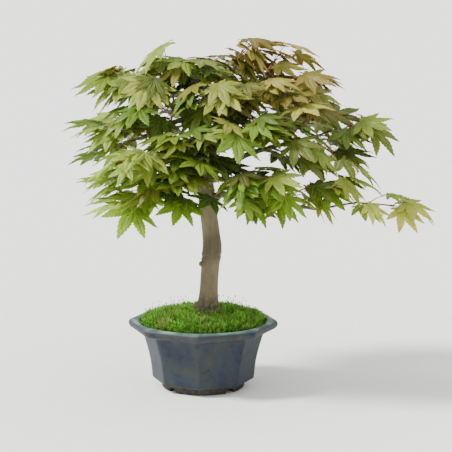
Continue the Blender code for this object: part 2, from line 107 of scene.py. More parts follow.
def draw_ring(obj, radius, height, roundness):
    """Extrudes the selected loop of edges to its next ring about the pot's axis."""
    loop = [v.co for v in bmesh.from_edit_mesh(obj.data).verts if v.select]
    now, low = max(co.xy.length for co in loop), loop[0].z
    bpy.ops.mesh.extrude_region_move(TRANSFORM_OT_translate={"value": (0, 0, height * MM - low)})
    if roundness:
        bpy.ops.transform.tosphere(value=roundness)
        loop = [v.co for v in bmesh.from_edit_mesh(obj.data).verts if v.select]
        now = max(co.xy.length for co in loop)
    share = radius * MM / now
    bpy.ops.transform.resize(value=(share, share, 1), center_override=(0, 0, 0))


def only(obj):
    """Makes obj the active object and the one that is selected."""
    bpy.ops.object.select_all(action="DESELECT")
    obj.select_set(True)
    bpy.context.view_layer.objects.active = obj
    return obj


def add_node(tree, kind, inputs, **settings):
    """A shader node with its settings and its inputs, which are values or other nodes' outputs."""
    made = tree.nodes.new(kind)
    for name, value in settings.items():
        setattr(made, name, value)
    for name, value in inputs.items():
        if isinstance(value, bpy.types.NodeSocket):
            tree.links.new(value, made.inputs[name])
        else:
            made.inputs[name].default_value = value
    return made


def new_finish(name, roughness, specular=0.5):
    """(material, node tree, Principled shader, Object coordinates)."""
    made = bpy.data.materials.new(name)
    made.use_nodes = True
    tree = made.node_tree
    shader = tree.nodes["Principled BSDF"]
    shader.inputs["Roughness"].default_value = roughness
    shader.inputs["Specular IOR Level"].default_value = specular
    place = tree.nodes.new("ShaderNodeTexCoord").outputs["Object"]
    return made, tree, shader, place


def cloud(tree, place, scale, detail=4.0, stretch=(1, 1, 1)):
    """A soft noise over the piece, from 0 to 1, stretched along its axes."""
    place = add_node(tree, "ShaderNodeMapping", {"Vector": place, "Scale": stretch}).outputs[0]
    return add_node(
        tree, "ShaderNodeTexNoise", {"Vector": place, "Scale": scale, "Detail": detail}
    ).outputs["Fac"]


def height_of(tree, place):
    """How high each point of the piece lies."""
    return add_node(tree, "ShaderNodeSeparateXYZ", {"Vector": place}).outputs["Z"]


def rise(tree, value, low, high):
    """An amount that goes from 0 at low to 1 at high, whichever of them is the greater."""
    span = {"Value": value, "From Min": low, "From Max": high}
    return add_node(tree, "ShaderNodeMapRange", span).outputs[0]


def reckon(tree, operation, a, b=0.0, **settings):
    """What an arithmetic operation makes of two amounts."""
    return add_node(tree, "ShaderNodeMath", {0: a, 1: b}, operation=operation, **settings).outputs[0]


def ramp(tree, amount, stops):
    """Turns an amount into a colour, through (amount, colour) stops."""
    made = add_node(tree, "ShaderNodeValToRGB", {"Fac": amount})
    line = made.color_ramp
    while len(line.elements) < len(stops):
        line.elements.new(0.5)
    for element, (spot, colour) in zip(line.elements, stops):
        element.position = spot
        element.color = (*colour, 1) if isinstance(colour, tuple) else (colour, colour, colour, 1)
    return made.outputs["Color"]


def mix(tree, amount, a, b, blend="MIX"):
    """Two colours mixed by an amount."""
    made = tree.nodes.new("ShaderNodeMix")
    made.data_type = "RGBA"
    made.blend_type = blend
    for socket, value in ((0, amount), (6, a), (7, b)):
        if isinstance(value, bpy.types.NodeSocket):
            tree.links.new(value, made.inputs[socket])
        elif isinstance(value, tuple):
            made.inputs[socket].default_value = (*value, 1)
        else:
            made.inputs[socket].default_value = value
    return made.outputs[2]


def spotted(tree, base, pattern, start, full, share, colour):
    """The base under a colour that comes in where a pattern is high, up to a share of the whole."""
    return mix(tree, ramp(tree, pattern, [(start, 0.0), (full, share)]), base, colour)


def bump(tree, shader, height, distance, strength=1.0):
    """Roughens the shader's surface by a height pattern."""
    relief = {"Height": height, "Distance": distance, "Strength": strength}
    tree.links.new(add_node(tree, "ShaderNodeBump", relief).outputs[0], shader.inputs["Normal"])


def glaze():
    """Slate blue mottled with green-grey, turquoise where it pools and brown where it runs thin."""
    made, tree, shader, place = new_finish("slate_glaze", 0.45, 0.24)
    height = height_of(tree, place)
    fine = cloud(tree, place, 150, 5)
    runs = cloud(tree, place, 60, 4, (1, 1, 0.25))
    body = ramp(tree, cloud(tree, place, 52, 4), [
        (0.34, (0.013, 0.018, 0.033)), (0.48, (0.018, 0.026, 0.041)),
        (0.58, (0.021, 0.029, 0.034)), (0.70, (0.027, 0.034, 0.031)),
    ])
    body = spotted(tree, body, runs, 0.47, 0.66, 0.75, (0.032, 0.042, 0.042))
    body = spotted(tree, body, fine, 0.54, 0.70, 0.6, (0.009, 0.013, 0.019))
    body = spotted(tree, body, cloud(tree, place, 420, 4), 0.60, 0.70, 0.4, (0.040, 0.050, 0.052))
    pools = cloud(tree, place, 45, 4)
    pooled = ramp(tree, pools, [(0.40, (0.040, 0.095, 0.088)), (0.64, (0.18, 0.31, 0.24))])
    body = mix(tree, rise(tree, height, 0.0755, 0.0779), body, pooled)
    edge = reckon(tree, "MULTIPLY", rise(tree, height, 0.0655, 0.0685), rise(tree, height, 0.0765, 0.0735))
    worn = ramp(tree, cloud(tree, place, 70, 5), [(0.42, 0.0), (0.62, 0.75)])
    body = mix(tree, reckon(tree, "MULTIPLY", edge, worn), body, (0.045, 0.042, 0.030))
    bare = rise(tree, height, 0.0112, 0.0088)
    clay = ramp(tree, fine, [(0.35, (0.028, 0.030, 0.028)), (0.65, (0.062, 0.062, 0.052))])
    tree.links.new(mix(tree, bare, body, clay), shader.inputs["Base Color"])
    rough = add_node(tree, "ShaderNodeMapRange", {"Value": runs, "To Min": 0.38, "To Max": 0.66})
    tree.links.new(reckon(tree, "MAXIMUM", rough.outputs[0], bare), shader.inputs["Roughness"])
    bump(tree, shader, cloud(tree, place, 90, 5), 0.0006, 0.5)
    return made


def apply_modifier(obj, kind, **settings):
    """Adds a modifier to obj and applies it."""
    only(obj)
    made = obj.modifiers.new(kind.lower(), kind)
    for name, value in settings.items():
        setattr(made, name, value)
    bpy.ops.object.modifier_apply(modifier=made.name)


def cut_away(obj, cutter):
    """Takes the cutter's shape out of obj, and deletes the cutter."""
    apply_modifier(obj, "BOOLEAN", operation="DIFFERENCE", solver="EXACT", object=cutter)
    bpy.data.objects.remove(cutter)


def finished(obj, finish):
    """Gives a piece made about the pot's axis its place and its finish, its object at the origin."""
    only(obj)
    bpy.ops.object.transform_apply(location=True, rotation=True, scale=True)
    obj.data.transform(Matrix.Translation(pot_middle))
    obj.data.materials.clear()
    obj.data.materials.append(finish)
    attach(obj, "root")
    return obj


bpy.ops.object.select_all(action="DESELECT")
bpy.ops.mesh.primitive_circle_add(vertices=POT_SIDES, radius=BASE_RADIUS, location=(0, 0, 0))
pot = bpy.context.object
pot.name = "glazed_pot"
bpy.ops.object.mode_set(mode="EDIT")
bpy.ops.mesh.select_all(action="SELECT")
bpy.ops.transform.translate(value=(0, 0, BASE_HEIGHT))
bpy.ops.mesh.subdivide(number_cuts=SIDE_CUTS)
bpy.ops.mesh.vertices_smooth(factor=0.5, repeat=1)
for row in POT_WALL:
    draw_ring(pot, *row)
bpy.ops.mesh.edge_face_add()
bpy.ops.mesh.select_all(action="DESELECT")
bpy.ops.mesh.select_mode(type="EDGE")
for edge in bmesh.from_edit_mesh(pot.data).edges:
    edge.select_set(edge.is_boundary)
bpy.ops.mesh.select_mode(type="VERT")
for row in POT_UNDERSIDE:
    draw_ring(pot, *row)
bpy.ops.mesh.edge_face_add()
bpy.ops.mesh.select_all(action="SELECT")
bpy.ops.mesh.normals_make_consistent(inside=False)
bpy.ops.object.mode_set(mode="OBJECT")
pot.data.transform(Matrix.Rotation(POT_TURN, 4, "Z"))
for quarter in range(4):
    bpy.ops.object.select_all(action="DESELECT")
    bpy.ops.mesh.primitive_cylinder_add(vertices=32, radius=1, depth=ARCH_REACH)
    arch = bpy.context.object
    lie = Matrix.Translation((ARCH_REACH / 2, 0, 0)) @ Matrix.Rotation(math.pi / 2, 4, "Y")
    arch.data.transform(lie @ Matrix.Diagonal((ARCH_HEIGHT, ARCH_HALF_WIDTH, 1, 1)))
    arch.data.transform(Matrix.Rotation(POT_TURN + math.pi / 4 + quarter * math.pi / 2, 4, "Z"))
    cut_away(pot, arch)
for side in (-1, 1):
    bpy.ops.object.select_all(action="DESELECT")
    bpy.ops.mesh.primitive_cylinder_add(
        vertices=48, radius=DRAIN_RADIUS, depth=30 * MM, location=(side * DRAIN_SPACING / 2, 0, 10 * MM)
    )
    cut_away(pot, bpy.context.object)
finished(pot, glaze())
only(pot)
bpy.ops.object.shade_smooth_by_angle(angle=math.radians(50))
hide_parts("pot")

# ---------------------------------------------------------------------------------------------
# Over each drain lies a square of black plastic mesh, so that the soil stays in. A brown wire
# staple pins it: over the mesh, down through the drain, its two tails folded out under the pot.
SCREEN_SIDE = 24 * MM
SCREEN_STRAND = 0.7 * MM
POT_FLOOR = 14 * MM
WIRE = 1.0  # millimetres thick


def plastic():
    """Black moulded plastic, a little dusty."""
    made, tree, shader, place = new_finish("screen_plastic", 0.55)
    dust = cloud(tree, place, 900, 3)
    colour = ramp(tree, dust, [(0.4, (0.012, 0.014, 0.013)), (0.7, (0.05, 0.045, 0.036))])
    tree.links.new(colour, shader.inputs["Base Color"])
    return made


def brown_wire():
    """Soft aluminium wire, anodised copper brown."""
    made, tree, shader, place = new_finish("brown_aluminium", 0.42)
    shader.inputs["Metallic"].default_value = 1
    dull = cloud(tree, place, 600, 3)
    colour = ramp(tree, dull, [(0.4, (0.45, 0.20, 0.11)), (0.65, (0.22, 0.11, 0.06))])
    tree.links.new(colour, shader.inputs["Base Color"])
    return made


def stem_mesh(name, paths, sides):
    """A mesh object of round stems along paths of (x, y, z, radius) in millimetres."""
    curve = bpy.data.curves.new(name, "CURVE")
    curve.dimensions = "3D"
    curve.bevel_depth = 1.0
    curve.bevel_resolution = (sides - 4) // 2
    curve.use_fill_caps = True
    for path in paths:
        spline = curve.splines.new("POLY")
        spline.points.add(len(path) - 1)
        for spot, (x, y, z, radius) in zip(spline.points, path):
            spot.co = (x * MM, y * MM, z * MM, 1)
            spot.radius = radius * MM
    stem = bpy.data.objects.new(name, curve)
    bpy.context.collection.objects.link(stem)
    only(stem)
    bpy.ops.object.convert(target="MESH")
    stem = bpy.context.object
    bpy.ops.object.mode_set(mode="EDIT")
    bpy.ops.mesh.select_all(action="SELECT")
    bpy.ops.mesh.remove_doubles(threshold=1e-6)
    bpy.ops.mesh.normals_make_consistent(inside=False)
    bpy.ops.object.mode_set(mode="OBJECT")
    return stem


black_plastic, brown_aluminium = plastic(), brown_wire()
for hand, side in (("left", -1), ("right", 1)):
    bpy.ops.object.select_all(action="DESELECT")
    bpy.ops.mesh.primitive_grid_add(
        x_subdivisions=10, y_subdivisions=10, size=SCREEN_SIDE,
        location=(side * DRAIN_SPACING / 2, 0, POT_FLOOR + 0.3 * MM + SCREEN_STRAND / 2),
    )
    screen = bpy.context.object
    screen.name = f"drain_mesh_{hand}"
    apply_modifier(
        screen, "WIREFRAME", thickness=SCREEN_STRAND, use_boundary=True, use_even_offset=False
    )
    finished(screen, black_plastic)
    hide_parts(f"drain_screen_{hand}")

    middle = side * DRAIN_SPACING / 2 / MM
    half = [(12, 7.9), (7.4, 7.9), (6.4, 8.3), (6, 9.3), (6, 14.2), (5.7, 15.2), (4.8, 15.8)]
    bent = [*half, *((-out, height) for out, height in reversed(half))]
    route = [(middle + out, 0, height, WIRE / 2) for out, height in bent]
    clip = stem_mesh(f"wire_clip_{hand}", [route], 12)
    finished(clip, brown_aluminium)
    only(clip)
    bpy.ops.object.shade_smooth_by_angle(angle=math.radians(60))
    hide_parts(f"screen_clip_{hand}")

# ---------------------------------------------------------------------------------------------
# The pot is filled with gritty soil, fired clay and pumice in dark humus, heaped to the trunk. It
# is all under the moss.
def grit():
    """Dark humus with paler grains of clay and pumice in it."""
    made, tree, shader, place = new_finish("gritty_soil", 0.95, 0.2)
    grain = add_node(tree, "ShaderNodeTexVoronoi", {"Vector": place, "Scale": 420.0})
    tone = add_node(tree, "ShaderNodeSeparateColor", {"Color": grain.outputs["Color"]}).outputs[0]
    colour = ramp(tree, tone, [
        (0.0, (0.020, 0.014, 0.009)), (0.6, (0.055, 0.036, 0.022)), (0.9, (0.16, 0.12, 0.08)),
    ])
    tree.links.new(colour, shader.inputs["Base Color"])
    bump(tree, shader, grain.outputs["Distance"], 0.001)
    return made


soil = bpy.data.objects["soil"]
soil.data.materials[0] = grit()

# ---------------------------------------------------------------------------------------------
# The soil is planted with a cushion of live moss, mounded a little towards the trunk. It is laid
# in pads that leave low seams between them, each pad thick with tiny leafy sprigs.
MOSS_WALL = [  # the cushion's rings, as (radius, height, roundness)
    (40, 76.2, 1), (60, 72.4, 1), (66, 71.2, 1), (68.4, 73.6, 1), (67.4, 76.4, 1), (63.8, 78.6, 1),
    (58, 80.6, 1), (50, 82.4, 1), (42, 83.8, 1), (34, 84.8, 1), (26, 85.4, 1), (18, 85.8, 1), (8, 86, 1),
]
PAD_SIZE = 17 * MM
PAD_SEAM = 2.6 * MM
SPRIG_COUNT = 5400
SPRIG_HEIGHT = (5.5, 11)
SPRIG_LEAN = 0.35
SPRIG_WHORLS = (  # leaves, height of the foot, reach, rise
    (5, 0.05, 0.50, 0.30), (5, 0.35, 0.42, 0.42), (3, 0.65, 0.2, 0.36),
)
STALK_COUNT = 110
TRUNK_HOLE = 13 * MM  # no sprigs this near the middle of the trunk
TRUNK_X = 4.5 * MM
MOSS_REACH = 67 * MM
MOSS_UNDERSIDE = 79.4 * MM
PADS_FROM = 75.5 * MM  # the height from which the pads stand out, fully so 3 mm above it


def moss_finish(name, dark, pale, dry):
    """Damp moss, from dark in the depths, as painted shade, to pale green tips, with dry straw-coloured
    specks.
    """
    made, tree, shader, place = new_finish(name, 0.85, 0.25)
    tone = add_node(tree, "ShaderNodeAttribute", {}, attribute_name="tone")
    tips = tuple(1.5 * c for c in pale)
    colour = ramp(tree, tone.outputs["Fac"], [(0.0, dark), (0.55, pale), (1.0, tips)])
    colour = spotted(tree, colour, cloud(tree, place, 55, 3), 0.5, 0.7, 0.7, dry)
    tree.links.new(colour, shader.inputs["Base Color"])
    shader.inputs["Subsurface Weight"].default_value = 0.15
    shader.inputs["Subsurface Radius"].default_value = (0.002, 0.003, 0.001)
    bump(tree, shader, cloud(tree, place, 700, 3), 0.0006)
    return made


def set_tone(obj, tones):
    """Stores how light each vertex is, from 0 to 1, for the material to read."""
    stored = obj.data.attributes.new("tone", "FLOAT", "POINT")
    stored.data.foreach_set("value", np.asarray(tones, dtype=np.float32))


def moss_lift(x, y):
    """How far the moss's pads rise above their seams at a place, in metres, from -1 to 1 of a seam."""
    spot = Vector((x, y, 0)) / PAD_SIZE
    spot += 0.35 * Vector((noise.noise(spot * 1.7), noise.noise(spot * 1.7 + Vector((9, 4, 2))), 0))
    near = noise.voronoi(spot)[0]
    return PAD_SEAM * (min((near[1] - near[0]) * 1.6, 1) - 0.75) + 0.0012 * noise.noise(spot * 4)


def moss_top(x, y):
    """The height of the cushion's top at a place about the pot's axis."""
    far = math.hypot(x, y) / MM
    rows = MOSS_WALL[4:]
    for (out, low, _), (inner, high, _) in zip(rows, rows[1:]):
        if far >= inner:
            share = min((out - far) / (out - inner), 1)
            return (low + share * (high - low)) * MM + moss_lift(x, y)
    return rows[-1][1] * MM + moss_lift(x, y)


bpy.ops.object.select_all(action="DESELECT")
bpy.ops.mesh.primitive_circle_add(vertices=120, radius=12 * MM)
moss = bpy.context.object
moss.name = "moss_cushion"
bpy.ops.object.mode_set(mode="EDIT")
bpy.ops.mesh.select_all(action="SELECT")
bpy.ops.transform.translate(value=(0, 0, MOSS_UNDERSIDE))
bpy.ops.mesh.edge_face_add()
for row in MOSS_WALL:
    draw_ring(moss, *row)
bpy.ops.mesh.edge_face_add()
bpy.ops.mesh.select_all(action="SELECT")
bpy.ops.mesh.poke()
bpy.ops.mesh.subdivide(number_cuts=1)
bpy.ops.mesh.normals_make_consistent(inside=False)
bpy.ops.object.mode_set(mode="OBJECT")
for vert in moss.data.vertices:
    share = min(max((vert.co.z - PADS_FROM) / (3 * MM), 0), 1)
    vert.co.z += share * moss_lift(vert.co.x, vert.co.y)
only(moss)
bpy.ops.object.shade_smooth()
lifts = [moss_lift(vert.co.x, vert.co.y) / PAD_SEAM for vert in moss.data.vertices]
# Painted shade: the bed is given a lower tone in the seams between the pads.
set_tone(moss, [0.1 + 0.25 * max(lift + 0.5, 0) for lift in lifts])
finished(moss, moss_finish("moss_bed", (0.020, 0.032, 0.008), (0.10, 0.18, 0.02), (0.12, 0.11, 0.03)))
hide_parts("moss")


def sprig():
    """A sprig one unit tall: narrow pointed leaves in three whorls round a stalk."""
    places, faces, tones = [], [], []
    for whorl, (count, low, out, lift) in enumerate(SPRIG_WHORLS):
        foot = Vector((0, 0, low - 0.05))
        for leaf in range(count):
            turn = math.tau * leaf / count + whorl * 0.7
            ahead = Vector((math.cos(turn), math.sin(turn), 0))
            side = Vector((-ahead.y, ahead.x, 0)) * 0.11
            a, b, c, tip = range(len(places), len(places) + 4)
            places += [foot - side, foot + side, ahead * 0.1 + Vector((0, 0, low + 0.12)),
                       ahead * out + Vector((0, 0, low + lift))]
            faces += [(a, tip, b), (b, tip, c), (c, tip, a), (a, b, c)]
            # Painted shade: the lower whorls and the leaves' bases get lower tones, paler towards the
            # tips.
            tones += [0.1 + 0.2 * whorl, 0.1 + 0.2 * whorl, 0.3 + 0.2 * whorl, 0.75 + 0.12 * whorl]
    return np.array(places), np.array(faces), np.array(tones)


def sown(name, spots, finish):
    """One object of sprigs, each with its place, its tilt as a matrix, its width, height and tone."""
    places, faces, tones = sprig()
    all_places, all_faces, all_tones = [], [], []
    for i, (spot, tilt, width, height, tone) in enumerate(spots):
        turned = (places * (width, width, height)) @ np.array(tilt).T + np.array(spot)
        all_places.append(turned)
        all_faces.append(faces + i * len(places))
        all_tones.append(np.clip(tones * tone, 0, 1))
    mesh = bpy.data.meshes.new(name)
    mesh.from_pydata(np.concatenate(all_places).tolist(), [], np.concatenate(all_faces).tolist())
    made = bpy.data.objects.new(name, mesh)
    bpy.context.collection.objects.link(made)
    set_tone(made, np.concatenate(all_tones))
    return finished(made, finish)


chance = random.Random(7)
sprigs = []
while len(sprigs) < SPRIG_COUNT:
    far, turn = MOSS_REACH * math.sqrt(chance.random()), chance.uniform(0, math.tau)
    x, y = far * math.cos(turn), far * math.sin(turn)
    from_trunk = math.hypot(x - TRUNK_X, y)
    if from_trunk < TRUNK_HOLE:
        continue
    lift = moss_lift(x, y) / PAD_SEAM
    if chance.random() > 0.35 + 1.2 * max(lift + 0.4, 0):
        continue
    lean = Matrix.Rotation(chance.gauss(0, SPRIG_LEAN), 3, "X")
    lean = lean @ Matrix.Rotation(chance.gauss(0, SPRIG_LEAN), 3, "Y")
    outward = Vector((x, y, 0)).normalized() * 0.5 * (far / MOSS_REACH) ** 3 + Vector((0, 0, 1))
    tilt = outward.to_track_quat("Z", "Y").to_matrix() @ lean
    tilt = tilt @ Matrix.Rotation(chance.uniform(0, math.tau), 3, "Z")
    height = chance.uniform(*SPRIG_HEIGHT) * MM
    width = height * chance.uniform(0.34, 0.5)
    # Each sprig's tone varies at random, and painted shade lowers it in the seams between the pads and
    # near the trunk, under the crown.
    tone = 0.45 + 0.55 * chance.random() + 0.4 * lift
    tone *= min(0.35 + from_trunk / (42 * MM), 1)
    sprigs.append((Vector((x, y, moss_top(x, y) - 0.25 * height)), tilt, width, height, tone))
third = len(sprigs) // 3
moss_leaf = moss_finish("moss_leaf", (0.010, 0.026, 0.004), (0.18, 0.46, 0.040), (0.34, 0.37, 0.11))
for part in range(3):
    piece = sown(f"moss_sprigs_{part + 1}", sprigs[part * third:(part + 1) * third], moss_leaf)

stalks = []
for _ in range(STALK_COUNT):
    far, turn = MM * chance.uniform(24, 66), chance.uniform(0, math.tau)
    foot = Vector((far * math.cos(turn) / MM, far * math.sin(turn) / MM, 0))
    foot.z = moss_top(foot.x * MM, foot.y * MM) / MM
    lean = Vector((chance.gauss(0, 0.22), chance.gauss(0, 0.22), 1)) * chance.uniform(11, 17)
    head = foot + lean
    stalks.append([(*foot, 0.12), (*foot.lerp(head, 0.86), 0.10), (*foot.lerp(head, 0.9), 0.42),
                   (*foot.lerp(head, 0.96), 0.5), (*head, 0.15)])
moss_stalks = stem_mesh("moss_stalks", stalks, 6)
set_tone(moss_stalks, [chance.uniform(0.3, 0.8) for _ in moss_stalks.data.vertices])
stalk_finish = moss_finish("moss_stalk", (0.05, 0.06, 0.015), (0.12, 0.13, 0.03), (0.16, 0.09, 0.03))
finished(moss_stalks, stalk_finish)

# ---------------------------------------------------------------------------------------------
# The trunk is live maple, one stem with five surface roots that dive under the moss. It has the
# scar of an old wire ring, a pruned stub, and smooth grey-brown bark that turns greener upwards.
TRUNK = [  # (x, y, z, radius) in millimetres from the middle of the pot's underside
    (4, 0, 62, 10.5), (4.5, 0, 84, 14.5), (5, 0, 92, 13.4), (6, 0, 102, 11.4), (7, 0, 120, 10.2),
    (8.5, -1, 143, 10.4), (10.3, -1, 160, 10.8), (9.2, 0, 176, 10), (7, 0, 196, 9.8), (4, 1, 222, 9.4),
    (2, 2, 246, 8.2), (0, 3, 270, 6.8), (-4, 4, 294, 5.4), (-1, 2, 318, 4.2), (5, 0, 338, 3.0),
]
ROOTS = [
    [(1, -3, 100, 5), (-9, -4, 88, 4.6), (-17, -7, 68, 3)],
    [(4, -4, 98, 4), (0, -13, 86, 3.4), (-4, -19, 68, 2.6)],
    [(8, -3, 99, 5), (17, -8, 86, 4.2), (24, -13, 68, 3)],
    [(8, 3, 99, 5), (17, 8, 86, 4.2), (23, 13, 68, 3)],
    [(2, 4, 98, 5), (-4, 14, 86, 4.2), (-9, 20, 68, 3)],
]
STUB = [(5, -3, 140, 4.4), (0, -5, 142, 3.6), (-3.4, -7.0, 143.6, 2.6)]
SCAR_HEIGHT = 151 * MM
TRUNK_GRAIN = 0.85 * MM


def smooth(points, steps):
    """Points (x, y, z, radius) on a smooth curve through the given ones."""
    ends = [points[0], *points, points[-1]]
    found = []
    for four in zip(ends, ends[1:], ends[2:], ends[3:]):
        for i in range(steps):
            t = i / steps
            found.append(tuple(
                b + 0.5 * t * ((c - a) + t * ((2 * a - 5 * b + 4 * c - d) + t * (3 * b - a - 3 * c + d)))
                for a, b, c, d in zip(*four)
            ))
    return found + [points[-1]]


def bark(name, low, high, tint, fine_scale=260):
    """Smooth bark: grey-brown skin with faint upright streaks, pale patches and dark pores."""
    made, tree, shader, place = new_finish(name, 0.72, 0.35)
    height = height_of(tree, place)
    streaks = cloud(tree, place, fine_scale, 5, (1, 1, 0.14))
    patches = cloud(tree, place, 46, 4, (1, 1, 0.6))
    skin = spotted(tree, low, patches, 0.38, 0.62, 1.0, high)
    skin = spotted(tree, skin, streaks, 0.5, 0.68, 0.3, tuple(0.5 * c for c in low))
    stain = reckon(tree, "MULTIPLY", rise(tree, height, 0.140, 0.152), rise(tree, height, 0.182, 0.164))
    skin = mix(tree, reckon(tree, "MULTIPLY", stain, patches), skin, tuple(0.6 * c for c in low))
    skin = mix(tree, rise(tree, height, 0.17, 0.30), skin, tint)
    pores = cloud(tree, place, 900, 3, (1, 1, 2.5))
    skin = spotted(tree, skin, pores, 0.64, 0.7, 0.7, (0.03, 0.024, 0.015))
    mossy = ramp(tree, cloud(tree, place, 190, 4), [(0.38, 0.2), (0.58, 1.0)])
    damp = reckon(tree, "MULTIPLY", rise(tree, height, 0.112, 0.094), mossy)
    tree.links.new(mix(tree, damp, skin, (0.040, 0.038, 0.018)), shader.inputs["Base Color"])
    wrinkles = cloud(tree, place, fine_scale * 1.6, 4, (0.35, 0.35, 1))
    bump(tree, shader, mix(tree, 0.6, streaks, wrinkles), 0.0009, 0.7)
    return made


trunk_lines = [smooth(TRUNK, 5), *(smooth(root, 5) for root in ROOTS), smooth(STUB, 3)]
trunk = stem_mesh("trunk_and_roots", trunk_lines, 24)
apply_modifier(trunk, "REMESH", mode="VOXEL", voxel_size=TRUNK_GRAIN)
apply_modifier(trunk, "SMOOTH", factor=0.5, iterations=6)
outwards = [Vector((vert.normal.x, vert.normal.y, 0)) for vert in trunk.data.vertices]
for vert, axis in zip(trunk.data.vertices, outwards):
    place = vert.co / MM
    swell = 0.5 * noise.noise(Vector((place.x / 9, place.y / 9, place.z / 26)))
    swell += 0.10 * noise.noise(Vector((place.x / 2.6, place.y / 2.6, place.z / 14)))
    swell += 0.10 * noise.noise(place / 1.6)
    ring = math.exp(-((vert.co.z - SCAR_HEIGHT - 1.2 * MM * math.sin(place.x * 0.4)) / (1.7 * MM)) ** 2)
    lips = math.exp(-((vert.co.z - SCAR_HEIGHT) / (5.5 * MM)) ** 2)
    flutes = noise.noise(Vector((place.x / 4, place.y / 4, 3))) * math.exp(-((place.z - 96) / 14) ** 2)
    vert.co += (swell + 0.25 * flutes - 0.9 * ring + 0.7 * lips) * MM * axis
bpy.ops.object.shade_smooth()
trunk_bark = bark("trunk_bark", (0.092, 0.075, 0.037), (0.172, 0.144, 0.078), (0.078, 0.078, 0.030))
finished(trunk, trunk_bark)
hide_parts("trunk")

# ---------------------------------------------------------------------------------------------
# Thirteen limbs grow from the trunk. Each swells into a collar where it leaves it, and steps a
# little at old nodes as it thins. Two bare twigs stand on the lowest limb of the right side.
LIMBS = {
    "limb_left_low": [(3, 1, 234, 3.8), (-16, -4, 241, 3.2), (-30, -8, 243, 2.6), (-46, -12, 242, 2.2),
                      (-58, -16, 236, 1.9)],
    "limb_left_mid": [(1, 2, 256, 3.8), (-18, -2, 274, 3.2), (-42, -6, 286, 2.5), (-66, -10, 289, 2.0)],
    "limb_left_high": [(-3, 4, 288, 3.6), (-20, 2, 308, 3.0), (-42, -2, 326, 2.4), (-60, -6, 338, 1.9)],
    "limb_right_low": [(5, 1, 214, 3.8), (24, -8, 223, 3.2), (44, -14, 221, 2.8), (62, -20, 218, 2.4),
                       (76, -24, 209, 2.2), (98, -22, 212, 2.0), (128, -18, 207, 1.7)],
    "limb_right_mid": [(3, 2, 240, 4.0), (26, 0, 256, 3.4), (60, -2, 270, 2.8), (98, -2, 280, 2.3),
                       (128, -4, 288, 1.9)],
    "limb_right_high": [(-1, 4, 280, 3.8), (20, 0, 304, 3.2), (48, -4, 322, 2.6), (74, -6, 334, 2.0)],
    "limb_front_low": [(3, 1, 228, 3.6), (6, -22, 238, 3.0), (20, -46, 246, 2.4), (34, -64, 248, 1.9)],
    "limb_front_left": [(0, 3, 264, 3.6), (-14, -22, 272, 3.0), (-30, -46, 276, 2.4),
                        (-46, -62, 274, 1.9)],
    "limb_front_right": [(-2, 3, 276, 3.4), (14, -20, 292, 3.0), (34, -40, 300, 2.4),
                         (56, -52, 300, 1.9)],
    "limb_back_left": [(2, 2, 248, 3.8), (-18, 22, 260, 3.2), (-42, 44, 270, 2.6), (-62, 58, 274, 2.0)],
    "limb_back_right": [(0, 3, 268, 3.8), (24, 24, 280, 3.2), (52, 44, 288, 2.6), (78, 58, 290, 2.0)],
    "limb_back": [(3, 2, 222, 3.6), (6, 24, 236, 3.0), (10, 52, 250, 2.4), (14, 78, 262, 1.9)],
    "limb_top": [(-2, 3, 306, 3.2), (10, 16, 322, 2.8), (20, 22, 338, 2.2), (32, 16, 352, 1.8)],
}
BARE_TWIGS = {
    "twig_inner": ("limb_right_low", 0.30, (62, -22, 202)),
    "twig_outer": ("limb_right_low", 0.56, (92, -32, 196)),
}
SHOOT_RADIUS = 1.2
GAP = 0.3  # how clear of its parent's bark a stem is laid out, before its base is grown into it
UP = Vector((0, 0, 1))


def along(path, share):
    """(place, direction, radius) at a share of a path's length."""
    places = [Vector(p[:3]) for p in path]
    spans = [(b - a).length for a, b in zip(places, places[1:])]
    left = share * sum(spans)
    for i, span in enumerate(spans):
        if left <= span or i == len(spans) - 1:
            t = min(left / span, 1.0)
            direction = (places[i + 1] - places[i]).normalized()
            return places[i].lerp(places[i + 1], t), direction, path[i][3] * (1 - t) + path[i + 1][3] * t
        left -= span


def clear_of_parent(direction, parent_direction, parent_radius, radius):
    """How far from its parent's axis a stem's flat end just clears the parent's bark."""
    cosine = min(abs(direction.dot(parent_direction)), 0.9)
    sine = math.sqrt(1 - cosine * cosine)
    return (parent_radius + radius * cosine) / sine + GAP


def limb_path(points):
    """A limb's points, from the bark of the trunk to its end."""
    start, trunk_way, trunk_radius = min(
        (along(TRUNK, i / 400) for i in range(401)), key=lambda spot: abs(spot[0].z - points[0][2])
    )
    way = (Vector(points[1][:3]) - start).normalized()
    start = start + way * clear_of_parent(way, trunk_way, trunk_radius, points[0][3])
    return smooth([(*start, points[0][3]), *points[1:]], 2)


def grown_in(path, collar, depth):
    """The path with its base run back into its parent, swollen like a collar."""
    first, second = Vector(path[0][:3]), Vector(path[1][:3])
    back = (first - second).normalized()
    radius = path[0][3]
    return [
        (*(first + back * depth), radius * collar),
        (*(first + back * depth * 0.35), radius * collar * 0.92),
        (*(first - back * radius * 0.6), radius * (0.5 + collar / 2)),
        (*(first - back * radius * 1.8), radius * 1.04),
        *path[1:],
    ]


def wander(spot):
    """A shift that changes smoothly from place to place, about one unit long at most."""
    return Vector([noise.noise(spot + Vector((away, 0, 0))) for away in (0, 17.3, 41.9)])


def knotted(path, name, step, wobble, swelling, gap):
    """The path cut into short lengths, with slight bends and a swelling at each node."""
    chance = random.Random(name)
    length = sum((Vector(b[:3]) - Vector(a[:3])).length for a, b in zip(path, path[1:]))
    count = max(int(length / step), 3)
    shift = chance.uniform(0, gap)
    found = []
    for i in range(count + 1):
        spot, _, radius = along(path, i / count)
        away = i * length / count
        bend = wander(spot / 7 + Vector((shift, 0, 0))) * wobble * min(away / 12, 1)
        knot = swelling * math.exp(-(((away + shift) % gap - gap / 2) / 1.3) ** 2) * min(away / 10, 1)
        grain = 0.04 * radius * noise.noise(spot / 2.2)
        found.append((*(spot + bend), radius * (1 + knot) + grain))
    return found


